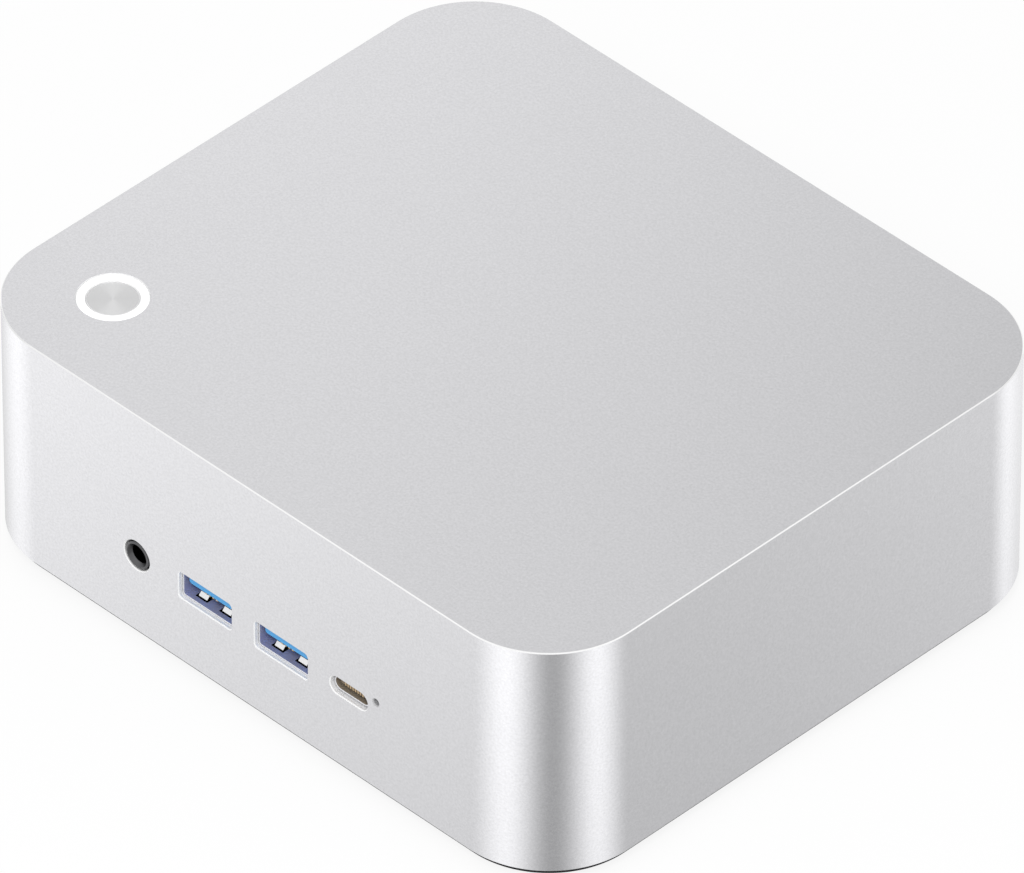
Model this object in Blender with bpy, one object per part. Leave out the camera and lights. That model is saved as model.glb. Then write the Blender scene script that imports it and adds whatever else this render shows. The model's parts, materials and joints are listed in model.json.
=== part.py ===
"""Mini PC.

An aluminium housing, open below, is closed by a black base cover on four rubber feet and by a black
panel at the rear. The motherboard hangs from posts under the lid: its sockets, memory and drive are
on its underside, and the processor, heat pipes, fins and blower are above it. A lit ring and a spun
metal button sit in the front left corner of the lid.

Metres, +Z up, +X to the right, the socketed front faces -Y. The origin is where the feet stand.
"""

import math

import bmesh
import bpy

# Clearances
SEAT_GAP = 0.0003
SLIDE_GAP = 0.00015
HOLE_GAP = 0.0004
PART_GAP = 0.0025
OVERLAP = 0.0004
OVERSHOOT = 0.0010

# Housing
WIDTH = 0.1500
DEPTH = 0.1312
HOUSING_HEIGHT = 0.0506
CORNER_RADIUS = 0.0198
CORNER_STEPS = 8
WALL = 0.0016
LID = 0.0020
EDGE_CHAMFER = 0.0003
MOUTH_CHAMFER = 0.0002
SOCKET_WALL = 0.0006
RELIEF_MARGIN = 0.0020

# Base cover and feet
FOOT_HEIGHT = 0.0020
FOOT_RADIUS = 0.0070
FOOT_EDGE = 0.0007
FOOT_SEAT = 0.0006
FOOT_INSET = 0.0210
COVER_DROP = 0.0013
COVER_INSET = 0.0010
COVER_FLOOR = 0.0020
LIP_HEIGHT = 0.0012
LIP_THICKNESS = 0.0012
INTAKE_WIDTH = 0.0030
INTAKE_LENGTH = 0.0280
INTAKE_PITCH = 0.0066
INTAKE_ROW_GAP = 0.0060
INTAKE_SIDE_MARGIN = 0.0330

# Screws and the posts that take them
POST_RADIUS = 0.0034
POST_INSET = 0.0063
POST_BORE_DEPTH = 0.0080
SCREW_RADIUS = 0.00125
SCREW_HEAD_RADIUS = 0.0024
SCREW_HEAD_HEIGHT = 0.0013
SCREW_LENGTH = 0.0070
SCREW_EDGE = 0.0003
STANDOFF_RADIUS = 0.0028
STANDOFF_SIDE_INSET = 0.0052
STANDOFF_FRONT_INSET = 0.0340
STANDOFF_REAR_INSET = 0.0300

# Power button in the lid
BUTTON_INSET = 0.0200
BUTTON_RADIUS = 0.00485
BUTTON_TRAVEL = 0.0005
BUTTON_RECESS = 0.0002
BUTTON_EDGE = 0.00015
RING_OUTER_RADIUS = 0.0066
RING_RECESS = 0.0001
RING_FLANGE = 0.0010
RING_FLANGE_REACH = 0.0018
CAP_FLANGE = 0.0010
CAP_FLANGE_REACH = 0.0013
STEM_RADIUS = 0.0015
STEM_LENGTH = 0.0007
PLUNGER_RADIUS = 0.0017
PLUNGER_RISE = 0.0010
PLUNGER_BURIED = 0.0010
SWITCH_SIDE = 0.0062
SWITCH_HEIGHT = 0.0030
BUTTON_BOARD_THICKNESS = 0.0010
HOLDER_BORE_RADIUS = 0.0076
HOLDER_WALL = 0.0016
HOLDER_FLOOR = 0.0012
EAR_RADIUS = 0.0028
EAR_DISTANCE = 0.0122
EAR_THICKNESS = 0.0015
HOLDER_SCREW_RADIUS = 0.0008
HOLDER_SCREW_HEAD_RADIUS = 0.0016
HOLDER_SCREW_HEAD_HEIGHT = 0.0010
LID_BOSS_RADIUS = 0.0023

# Motherboard
BOARD_LIFT = 0.0213
BOARD_THICKNESS = 0.0016
BOARD_MARGIN = 0.0020
BOARD_CLEARANCE = 0.0010

# Front sockets, along X and above the housing's lower edge
AUDIO_X = -0.0289
AUDIO_Z = 0.01766
AUDIO_MOUTH_RADIUS = 0.0032
AUDIO_NOSE_RADIUS = 0.0029
AUDIO_BORE_RADIUS = 0.0019
AUDIO_BORE_DEPTH = 0.0100
AUDIO_FUNNEL = 0.0003
AUDIO_NOSE_SETBACK = 0.00005
AUDIO_WIDTH = 0.0064
AUDIO_LENGTH = 0.0120
TYPE_A_FRONT_X = (-0.01151, 0.00777)
TYPE_A_Z = 0.01755
TYPE_C_X = 0.0249
TYPE_C_Z = 0.01805
RESET_X = 0.03177
RESET_Z = 0.02006
RESET_HOLE_RADIUS = 0.0007

# Type-A socket
TYPE_A_MOUTH_WIDTH = 0.01335
TYPE_A_MOUTH_HEIGHT = 0.00585
TYPE_A_MOUTH_RADIUS = 0.0007
TYPE_A_INNER_WIDTH = 0.0125
TYPE_A_INNER_HEIGHT = 0.00512
TYPE_A_INNER_RADIUS = 0.0004
TYPE_A_SHELL = 0.0003
TYPE_A_LENGTH = 0.0140
TYPE_A_COLLAR = 0.0030
TYPE_A_BACK = 0.0008
TYPE_A_TONGUE_WIDTH = 0.0111
TYPE_A_TONGUE_THICKNESS = 0.00184
TYPE_A_TONGUE_GAP = 0.0006
TYPE_A_TONGUE_SETBACK = 0.0006
TYPE_A_TONGUE_LENGTH = 0.0088
TYPE_A_TIP_CHAMFER = 0.0003

# Type-C socket
TYPE_C_MOUTH_WIDTH = 0.0094
TYPE_C_MOUTH_HEIGHT = 0.00377
TYPE_C_INNER_WIDTH = 0.00834
TYPE_C_INNER_HEIGHT = 0.00256
TYPE_C_SHELL = 0.0003
TYPE_C_END_FLAT = 0.0002
TYPE_C_LENGTH = 0.0080
TYPE_C_COLLAR = 0.0020
TYPE_C_BACK = 0.0006
TYPE_C_TONGUE_WIDTH = 0.0067
TYPE_C_TONGUE_THICKNESS = 0.0007
TYPE_C_TONGUE_SETBACK = 0.0006
TYPE_C_TONGUE_LENGTH = 0.0048

# Reset switch behind the pinhole
RESET_TRAVEL = 0.0003
RESET_PLUNGER_RADIUS = 0.0004
RESET_PLUNGER_RISE = 0.0010
RESET_PLUNGER_BURIED = 0.0008
RESET_SETBACK = 0.0005
RESET_WIDTH = 0.0040
RESET_LENGTH = 0.0030
RESET_HEIGHT = 0.0016

# Rear panel
PANEL_SIDE_MARGIN = 0.0008
PANEL_LOW_MARGIN = 0.0045
PANEL_HIGH_MARGIN = 0.0030
PANEL_RADIUS = 0.0030
PANEL_RECESS = 0.0004
PANEL_THICKNESS = 0.0012
PANEL_FLANGE_REACH = 0.0020
PANEL_FLANGE_THICKNESS = 0.0010
PANEL_RIM = 0.0012
EXHAUST_WIDTH = 0.0026
EXHAUST_PITCH = 0.0046
EXHAUST_MARGIN = 0.0020
EXHAUST_SIDE_MARGIN = 0.0040

# Rear sockets
NETWORK_WIDTH = 0.0160
NETWORK_HEIGHT = 0.0134
NETWORK_LENGTH = 0.0210
NETWORK_PLUG_WIDTH = 0.0119
NETWORK_PLUG_HEIGHT = 0.0070
NETWORK_PLUG_DEPTH = 0.0130
NETWORK_PLUG_ROOF = 0.0022
NETWORK_LATCH_WIDTH = 0.0064
NETWORK_LATCH_HEIGHT = 0.0016
NETWORK_MOUTH_INSET = 0.0006
NETWORK_MOUTH_RADIUS = 0.0004
VIDEO_INNER_WIDTH = 0.0140
VIDEO_INNER_HEIGHT = 0.00455
VIDEO_INNER_CHAMFER = 0.0017
VIDEO_SHELL = 0.0004
VIDEO_LENGTH = 0.0115
VIDEO_COLLAR = 0.0025
VIDEO_BACK = 0.0008
VIDEO_TONGUE_WIDTH = 0.0104
VIDEO_TONGUE_THICKNESS = 0.0010
VIDEO_TONGUE_SETBACK = 0.0010
VIDEO_TONGUE_LENGTH = 0.0070
VIDEO_SADDLE = 0.0008
VIDEO_MOUTH_MARGIN = 0.0003
INLET_WIDTH = 0.0090
INLET_HEIGHT = 0.0105
INLET_LENGTH = 0.0140
INLET_BORE_RADIUS = 0.0032
INLET_PIN_RADIUS = 0.0011
INLET_BORE_DEPTH = 0.0095
INLET_PIN_SETBACK = 0.0006

# Processor and cooler
PROCESSOR_WIDTH = 0.0250
PROCESSOR_DEPTH = 0.0350
PROCESSOR_HEIGHT = 0.0016
PROCESSOR_Y = -0.0060
PROCESSOR_DIE_INSET = 0.0060
PROCESSOR_DIE_HEIGHT = 0.0007
COLD_PLATE_SIDE = 0.0440
COLD_PLATE_RADIUS = 0.0040
COLD_PLATE_THICKNESS = 0.0020
PIPE_WIDTH = 0.0080
PIPE_THICKNESS = 0.0030
PIPE_SPACING = 0.0110
PIPE_BEND_RADIUS = 0.0120
PIPE_BEND_STEPS = 6
PIPE_END_MARGIN = 0.0018
FIN_DEPTH = 0.0110
FIN_THICKNESS = 0.0006
FIN_PITCH = 0.0030
FIN_ROOT = 0.0010
FIN_SETBACK = 0.0010

# Blower
FAN_RADIUS = 0.0280
FAN_HUB_RADIUS = 0.0115
FAN_BLADES = 21
FAN_BLADE_STEPS = 3
FAN_BLADE_THICKNESS = 0.0009
FAN_BLADE_SWEEP = 42.0
FAN_TIP_CLEARANCE = 0.0030
FAN_SCROLL_GROWTH = 0.0090
FAN_SCROLL_STEPS = 26
FAN_CUTOFF_ANGLE = 110.0
FAN_OUTLET_REACH = 0.0150
FAN_WALL = 0.0010
FAN_FLOOR = 0.0012
FAN_COVER = 0.0008
FAN_INLET_RADIUS = 0.0205
FAN_INLET_ROOT_RADIUS = 0.0130
FAN_SPOKES = 3
FAN_SPOKE_ANGLE = 22.0
FAN_HEADROOM = 0.0020
FAN_END_PLAY = 0.0006
FAN_SHAFT_RADIUS = 0.0010
FAN_HUB_CHAMFER = 0.0008

# Memory, drive, radio, clock cell and antennas
MEMORY_WIDTH = 0.0676
MEMORY_DEPTH = 0.0300
MEMORY_THICKNESS = 0.0012
MEMORY_CHIPS = 4
MEMORY_CHIP_WIDTH = 0.0110
MEMORY_CHIP_DEPTH = 0.0140
MEMORY_CHIP_HEIGHT = 0.0010
MEMORY_KEY_WIDTH = 0.0020
MEMORY_KEY_X = 0.0100
MEMORY_ENGAGED = 0.0035
MEMORY_SOCKET_BAR = 0.0060
MEMORY_SOCKET_HEIGHT = 0.0050
MEMORY_ARM_WIDTH = 0.0022
MEMORY_ARM_LENGTH = 0.0240
DRIVE_WIDTH = 0.0220
DRIVE_LENGTH = 0.0800
DRIVE_THICKNESS = 0.0008
DRIVE_CHIPS = 3
DRIVE_CHIP_SIDE = 0.0150
DRIVE_CHIP_HEIGHT = 0.0013
DRIVE_NOTCH_RADIUS = 0.0018
DRIVE_ENGAGED = 0.0035
DRIVE_SOCKET_LENGTH = 0.0085
DRIVE_SOCKET_HEIGHT = 0.0042
DRIVE_POST_RADIUS = 0.0026
RADIO_WIDTH = 0.0160
RADIO_DEPTH = 0.0120
RADIO_HEIGHT = 0.0018
CELL_RADIUS = 0.0100
CELL_HEIGHT = 0.0032
CELL_RIM = 0.0008
CELL_SIDE_INSET = 0.0220
CELL_FRONT_INSET = 0.0170
ANTENNA_WIDTH = 0.0080
ANTENNA_LENGTH = 0.0420
ANTENNA_THICKNESS = 0.0006
ANTENNA_INSET = 0.0100

# Facets of round pieces
HOLE_STEPS = 10
SCREW_STEPS = 8
FOOT_STEPS = 16
BUTTON_STEPS = 32
BORE_STEPS = 16
SLOT_STEPS = 4
MOUTH_STEPS = 2
TYPE_C_STEPS = 4

# Heights that the stacked pieces share
HOUSING_BOTTOM = FOOT_HEIGHT + COVER_DROP
HOUSING_TOP = HOUSING_BOTTOM + HOUSING_HEIGHT
CEILING = HOUSING_TOP - LID
COVER_TOP = FOOT_HEIGHT + COVER_FLOOR
LIP_TOP = COVER_TOP + LIP_HEIGHT
POST_END = LIP_TOP + SEAT_GAP
BOARD_LOW = HOUSING_BOTTOM + BOARD_LIFT
BOARD_HIGH = BOARD_LOW + BOARD_THICKNESS
SOCKET_ROOF = BOARD_LOW - SEAT_GAP

RING_TOP = HOUSING_TOP - RING_RECESS
RING_FLANGE_TOP = CEILING - SEAT_GAP
RING_FLANGE_LOW = RING_FLANGE_TOP - RING_FLANGE
HOLDER_TOP = RING_FLANGE_LOW - SEAT_GAP
CAP_TOP = RING_TOP - BUTTON_RECESS
CAP_FLANGE_LOW = HOLDER_TOP - CAP_FLANGE
STEM_LOW = CAP_FLANGE_LOW - STEM_LENGTH
PLUNGER_TOP = STEM_LOW - SEAT_GAP
SWITCH_TOP = PLUNGER_TOP - PLUNGER_RISE
PLUNGER_LOW = SWITCH_TOP - PLUNGER_BURIED
SWITCH_LOW = SWITCH_TOP - SWITCH_HEIGHT
BUTTON_BOARD_TOP = SWITCH_LOW - SEAT_GAP
BUTTON_BOARD_LOW = BUTTON_BOARD_TOP - BUTTON_BOARD_THICKNESS
HOLDER_FLOOR_TOP = BUTTON_BOARD_LOW - SEAT_GAP
HOLDER_LOW = HOLDER_FLOOR_TOP - HOLDER_FLOOR

PROCESSOR_LOW = BOARD_HIGH + SEAT_GAP
PROCESSOR_TOP = PROCESSOR_LOW + PROCESSOR_HEIGHT
COLD_PLATE_LOW = PROCESSOR_TOP + SEAT_GAP
COLD_PLATE_TOP = COLD_PLATE_LOW + COLD_PLATE_THICKNESS
PIPE_LOW = COLD_PLATE_TOP + SEAT_GAP
PIPE_TOP = PIPE_LOW + PIPE_THICKNESS
FAN_LOW = PIPE_TOP + SEAT_GAP
FAN_TOP = CEILING - FAN_HEADROOM
FAN_COVER_LOW = FAN_TOP - FAN_COVER
FAN_HOUSING_TOP = FAN_COVER_LOW - SEAT_GAP

# Places in plan that several pieces share
FRONT = -DEPTH / 2
REAR = DEPTH / 2
INNER_WIDTH = WIDTH - 2 * WALL
INNER_DEPTH = DEPTH - 2 * WALL
BOARD_WIDTH = INNER_WIDTH - 2 * BOARD_MARGIN
BOARD_DEPTH = INNER_DEPTH - 2 * BOARD_MARGIN
BUTTON_X = -(WIDTH / 2 - BUTTON_INSET)
BUTTON_Y = -(DEPTH / 2 - BUTTON_INSET)
FRONT_SOCKET_Y = FRONT + SOCKET_WALL + SEAT_GAP
REAR_SOCKET_Y = REAR - PANEL_RECESS - PANEL_THICKNESS - SEAT_GAP
RING_BORE = BUTTON_RADIUS + SLIDE_GAP
EAR_TURNS = (math.radians(-45.0), math.radians(135.0))

PANEL_WIDTH = WIDTH - 2 * CORNER_RADIUS - 2 * PANEL_SIDE_MARGIN
PANEL_LOW = HOUSING_BOTTOM + PANEL_LOW_MARGIN
PANEL_HIGH = CEILING - PANEL_HIGH_MARGIN

FAN_SCROLL_RADIUS = FAN_RADIUS + FAN_TIP_CLEARANCE
FAN_OUTLET_RIGHT = FAN_SCROLL_RADIUS + FAN_SCROLL_GROWTH
FAN_OUTLET_LEFT = FAN_SCROLL_RADIUS * math.cos(math.radians(FAN_CUTOFF_ANGLE))
FAN_OUTLET_Y = FAN_SCROLL_RADIUS * math.sin(math.radians(FAN_CUTOFF_ANGLE)) + FAN_OUTLET_REACH
FIN_REAR = INNER_DEPTH / 2 - SEAT_GAP - PANEL_FLANGE_THICKNESS - FIN_SETBACK
FIN_FRONT = FIN_REAR - FIN_DEPTH
FIN_ROOM = FAN_OUTLET_RIGHT - FAN_OUTLET_LEFT
FAN_X = -(FAN_OUTLET_RIGHT + FAN_OUTLET_LEFT) / 2
FAN_Y = FIN_FRONT - SEAT_GAP - FAN_OUTLET_Y

MEMORY_LEFT = -BOARD_WIDTH / 2 + 2 * STANDOFF_SIDE_INSET
MEMORY_X = MEMORY_LEFT + MEMORY_ARM_WIDTH + SEAT_GAP + MEMORY_WIDTH / 2
MEMORY_BAR_FRONT = FRONT_SOCKET_Y + TYPE_A_LENGTH + PART_GAP
MEMORY_FRONT = MEMORY_BAR_FRONT + MEMORY_SOCKET_BAR - MEMORY_ENGAGED
MEMORY_LEVEL = SOCKET_ROOF - MEMORY_SOCKET_HEIGHT / 2
DRIVE_Y = MEMORY_FRONT + MEMORY_DEPTH + PART_GAP + DRIVE_WIDTH / 2
DRIVE_LEFT = -BOARD_WIDTH / 2 + 2 * STANDOFF_SIDE_INSET
DRIVE_LEVEL = SOCKET_ROOF - DRIVE_SOCKET_HEIGHT / 2

FINISHES = {
    "silver_aluminium": ((0.62, 0.63, 0.64), 0.40, 1.0),
    "spun_metal": ((0.70, 0.70, 0.71), 0.30, 1.0),
    "lit_diffuser": ((0.95, 0.95, 0.95), 0.45, 0.0),
    "black_plastic": ((0.016, 0.016, 0.018), 0.55, 0.0),
    "black_rubber": ((0.012, 0.012, 0.012), 0.85, 0.0),
    "screw_steel": ((0.30, 0.30, 0.31), 0.35, 1.0),
    "socket_steel": ((0.60, 0.60, 0.62), 0.25, 1.0),
    "blue_tongue": ((0.06, 0.36, 0.75), 0.40, 0.0),
    "black_tongue": ((0.03, 0.03, 0.03), 0.45, 0.0),
    "dark_collar": ((0.10, 0.10, 0.11), 0.35, 0.6),
    "circuit_board": ((0.01, 0.03, 0.02), 0.50, 0.0),
    "chip_package": ((0.03, 0.03, 0.035), 0.40, 0.0),
    "copper": ((0.72, 0.35, 0.20), 0.35, 1.0),
    "fin_aluminium": ((0.60, 0.60, 0.61), 0.40, 1.0),
    "antenna_film": ((0.05, 0.05, 0.05), 0.50, 0.0),
}


def circle(radius, steps, centre=(0.0, 0.0)):
    """Anticlockwise ring of points."""
    points = []
    for step in range(steps):
        angle = 2 * math.pi * step / steps
        points.append((centre[0] + radius * math.cos(angle), centre[1] + radius * math.sin(angle)))
    return points


def arc(radius, start, end, steps, centre=(0.0, 0.0)):
    """Points along an arc with both ends, from angle start to angle end in radians."""
    points = []
    for step in range(steps + 1):
        angle = start + (end - start) * step / steps
        points.append((centre[0] + radius * math.cos(angle), centre[1] + radius * math.sin(angle)))
    return points


def rectangle(width, height, centre=(0.0, 0.0)):
    """Anticlockwise rectangle."""
    signs = ((1, 1), (-1, 1), (-1, -1), (1, -1))
    return [(centre[0] + a * width / 2, centre[1] + b * height / 2) for a, b in signs]


def rounded_rectangle(width, height, radius, steps, centre=(0.0, 0.0)):
    """Anticlockwise rectangle with round corners of so many facets each."""
    points = []
    signs = ((1, 1), (-1, 1), (-1, -1), (1, -1))
    for quarter, (a, b) in enumerate(signs):
        middle = (centre[0] + a * (width / 2 - radius), centre[1] + b * (height / 2 - radius))
        start = quarter * math.pi / 2
        points += arc(radius, start, start + math.pi / 2, steps, middle)
    return points


def slot(width, length, steps, centre=(0.0, 0.0)):
    """Upright slot with half-round ends of so many facets each."""
    radius = width / 2
    reach = length / 2 - radius
    top = arc(radius, 0.0, math.pi, steps, (centre[0], centre[1] + reach))
    bottom = arc(radius, math.pi, 2 * math.pi, steps, (centre[0], centre[1] - reach))
    return top + bottom


def flat(outline, height):
    """Outline laid level at a height."""
    return [(x, y, height) for x, y in outline]


def upright(outline, y):
    """Outline of X and Z stood up at a depth."""
    return [(x, y, z) for x, z in outline]


def sideways(outline, x):
    """Outline of Y and Z stood up across X."""
    return [(x, y, z) for y, z in outline]


def loft(sections, ring=False):
    """Closed mesh through sections of equal count, capped at its ends or joined round as a ring."""
    mesh = bmesh.new()
    loops = [[mesh.verts.new(point) for point in section] for section in sections]
    pairs = list(zip(loops, loops[1:]))
    if ring:
        pairs.append((loops[-1], loops[0]))
    else:
        mesh.faces.new(loops[0])
        mesh.faces.new(loops[-1])
    for near, far in pairs:
        for index, corner in enumerate(near):
            after = (index + 1) % len(near)
            mesh.faces.new((corner, near[after], far[after], far[index]))
    bmesh.ops.recalc_face_normals(mesh, faces=mesh.faces)
    return mesh


def prism(outline, low, high):
    """Level outline raised from low to high."""
    return loft([flat(outline, low), flat(outline, high)])


def turned(profile, steps, centre=(0.0, 0.0), ring=False):
    """Round solid about a Z axis, from (radius, height) pairs; a ring profile is a closed loop."""
    return loft([flat(circle(radius, steps, centre), height) for radius, height in profile], ring)


def block(low, high):
    """Box between two corners."""
    outline = rectangle(high[0] - low[0], high[1] - low[1], ((low[0] + high[0]) / 2, (low[1] + high[1]) / 2))
    return prism(outline, low[2], high[2])


def finish(name):
    """Material with the finish's colour, roughness and metallic value."""
    material = bpy.data.materials.get(name)
    if material is None:
        colour, roughness, metallic = FINISHES[name]
        material = bpy.data.materials.new(name)
        material.use_nodes = True
        shader = material.node_tree.nodes["Principled BSDF"]
        shader.inputs["Base Color"].default_value = (*colour, 1.0)
        shader.inputs["Roughness"].default_value = roughness
        shader.inputs["Metallic"].default_value = metallic
    return material


def empty(name, place=(0.0, 0.0, 0.0), parent=None):
    """Empty that carries a group of pieces."""
    holder = bpy.data.objects.new(name, None)
    holder.location = place
    holder.parent = parent
    bpy.context.scene.collection.objects.link(holder)
    return holder


def piece(name, mesh, look, parent, place=(0.0, 0.0, 0.0), turn=0.0):
    """Named solid from a mesh, placed under its parent."""
    data = bpy.data.meshes.new(name)
    mesh.to_mesh(data)
    mesh.free()
    data.shade_smooth()
    data.set_sharp_from_angle(angle=math.radians(35.0))
    data.materials.append(finish(look))
    body = bpy.data.objects.new(name, data)
    body.location = place
    body.rotation_euler.z = turn
    body.parent = parent
    bpy.context.scene.collection.objects.link(body)
    return body


def carve(body, operation, shapes):
    """Takes shapes from a body or joins them to it; the shapes of one call stay clear of each other."""
    name = f"{body.name}_{operation.lower()}_{len(body.modifiers)}"
    data = bpy.data.meshes.new(name)
    joined = bmesh.new()
    for shape in shapes:
        shape.to_mesh(data)
        joined.from_mesh(data)
        shape.free()
    joined.to_mesh(data)
    joined.free()
    tool = bpy.data.objects.new(name, data)
    tool.parent = body
    tool.hide_render = True
    tool.display_type = "WIRE"
    bpy.context.scene.collection.objects.link(tool)
    modifier = body.modifiers.new(name, "BOOLEAN")
    modifier.operation = operation
    modifier.solver = "EXACT"
    modifier.object = tool


def cut(body, *shapes):
    """Takes shapes out of a body."""
    carve(body, "DIFFERENCE", shapes)


def fuse(body, *shapes):
    """Joins shapes to a body."""
    carve(body, "UNION", shapes)


def corners():
    """Signs of the four corners: front left, front right, rear left, rear right."""
    return [(a, b) for b in (-1, 1) for a in (-1, 1)]


def post_places():
    """Centre of each corner post."""
    reach = (CORNER_RADIUS - POST_INSET) / math.sqrt(2)
    across = WIDTH / 2 - CORNER_RADIUS + reach
    along = DEPTH / 2 - CORNER_RADIUS + reach
    return [(a * across, b * along) for a, b in corners()]


def post_outline(corner, place, radius, reach):
    """Corner post in plan: round inside, and run straight out towards the wall."""
    heading = math.atan2(corner[1], corner[0])
    out = (math.cos(heading), math.sin(heading))
    side = (-out[1], out[0])
    points = arc(radius, heading + math.pi / 2, heading + 3 * math.pi / 2, HOLE_STEPS // 2, place)
    for sign in (-1, 1):
        x = place[0] + reach * out[0] + sign * radius * side[0]
        y = place[1] + reach * out[1] + sign * radius * side[1]
        points.append((x, y))
    return points


def standoff_places():
    """Centre of each board post."""
    across = BOARD_WIDTH / 2 - STANDOFF_SIDE_INSET
    front = -BOARD_DEPTH / 2 + STANDOFF_FRONT_INSET
    rear = BOARD_DEPTH / 2 - STANDOFF_REAR_INSET
    return [(a * across, y) for y in (front, rear) for a in (-1, 1)]


def ear_places():
    """Centres of the button holder's two ears, about the button's axis."""
    return [(EAR_DISTANCE * math.cos(turn), EAR_DISTANCE * math.sin(turn)) for turn in EAR_TURNS]


def type_a_mouth(grow=0.0):
    """Opening for a type-A plug in a wall."""
    width = TYPE_A_MOUTH_WIDTH + 2 * grow
    height = TYPE_A_MOUTH_HEIGHT + 2 * grow
    return rounded_rectangle(width, height, TYPE_A_MOUTH_RADIUS + grow, MOUTH_STEPS)


def type_c_mouth(grow=0.0):
    """Opening for a type-C plug in a wall."""
    width = TYPE_C_MOUTH_WIDTH + 2 * grow
    height = TYPE_C_MOUTH_HEIGHT + 2 * grow
    return rounded_rectangle(width, height, (height - TYPE_C_END_FLAT) / 2, TYPE_C_STEPS)


def video_outline(width, height, chamfer):
    """Video socket: a rectangle whose lower corners are cut."""
    half = width / 2
    low = -height / 2
    right = [(half - chamfer, low), (half, low + chamfer), (half, height / 2)]
    left = [(-x, z) for x, z in reversed(right)]
    return right + left


def video_mouth(grow=0.0):
    """Opening for a video plug in a wall."""
    margin = VIDEO_MOUTH_MARGIN + grow
    width = VIDEO_INNER_WIDTH + 2 * margin
    height = VIDEO_INNER_HEIGHT + 2 * margin
    return video_outline(width, height, VIDEO_INNER_CHAMFER)


def network_mouth(grow=0.0):
    """Opening in a wall that shows a network socket's face."""
    width = NETWORK_WIDTH - 2 * NETWORK_MOUTH_INSET + 2 * grow
    height = NETWORK_HEIGHT - 2 * NETWORK_MOUTH_INSET + 2 * grow
    return rounded_rectangle(width, height, NETWORK_MOUTH_RADIUS + grow, MOUTH_STEPS)


def inlet_mouth(grow=0.0):
    """Opening in a wall for the power plug."""
    return circle(INLET_BORE_RADIUS + MOUTH_CHAMFER + grow, BORE_STEPS)


def audio_mouth(grow=0.0):
    """Opening in a wall for the audio jack's nose."""
    return circle(AUDIO_MOUTH_RADIUS + grow, 2 * HOLE_STEPS)


def reset_mouth(grow=0.0):
    """Pinhole in a wall."""
    return circle(RESET_HOLE_RADIUS + grow, HOLE_STEPS)


def mouth_cutter(mouth, x, z, face, inward, depth):
    """Cutter for an opening with a chamfered rim in a wall whose outer face is at Y = face."""
    sections = []
    levels = ((-MOUTH_CHAMFER, 2 * MOUTH_CHAMFER), (MOUTH_CHAMFER, 0.0), (depth, 0.0))
    for level, grow in levels:
        outline = [(x + a, z + b) for a, b in mouth(grow)]
        sections.append(upright(outline, face + inward * level))
    return loft(sections)


def rear_sockets():
    """Kind, middle X and half height of each rear socket, spread evenly along the panel."""
    widths = {
        "network_1": NETWORK_WIDTH,
        "network_2": NETWORK_WIDTH,
        "type_a": TYPE_A_INNER_WIDTH + 2 * TYPE_A_SHELL,
        "video": VIDEO_INNER_WIDTH + 2 * VIDEO_SHELL,
        "type_c": TYPE_C_INNER_WIDTH + 2 * TYPE_C_SHELL,
        "inlet": INLET_WIDTH,
    }
    room = PANEL_WIDTH - 2 * SEAT_GAP - 2 * PANEL_RIM
    gap = (room - sum(widths.values())) / (len(widths) + 1)
    places = {}
    edge = -room / 2
    for kind, width in widths.items():
        edge += gap
        places[kind] = edge + width / 2
        edge += width
    return places


REAR_X = rear_sockets()
REAR_Z = {
    "network_1": SOCKET_ROOF - NETWORK_HEIGHT / 2,
    "network_2": SOCKET_ROOF - NETWORK_HEIGHT / 2,
    "type_a": HOUSING_BOTTOM + TYPE_A_Z,
    "video": SOCKET_ROOF - VIDEO_SADDLE - VIDEO_SHELL - VIDEO_INNER_HEIGHT / 2,
    "type_c": HOUSING_BOTTOM + TYPE_C_Z,
    "inlet": SOCKET_ROOF - INLET_HEIGHT / 2,
}
REAR_MOUTHS = {
    "network_1": network_mouth,
    "network_2": network_mouth,
    "type_a": type_a_mouth,
    "video": video_mouth,
    "type_c": type_c_mouth,
    "inlet": inlet_mouth,
}


def housing_outline(inset):
    """Housing in plan, drawn in by an inset."""
    return rounded_rectangle(WIDTH - 2 * inset, DEPTH - 2 * inset, CORNER_RADIUS - inset, CORNER_STEPS)


def panel_outline(grow):
    """Rear window in X and Z, grown by an amount."""
    middle = (0.0, (PANEL_LOW + PANEL_HIGH) / 2)
    width = PANEL_WIDTH + 2 * grow
    height = PANEL_HIGH - PANEL_LOW + 2 * grow
    return rounded_rectangle(width, height, PANEL_RADIUS + grow, MOUTH_STEPS, middle)


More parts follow.
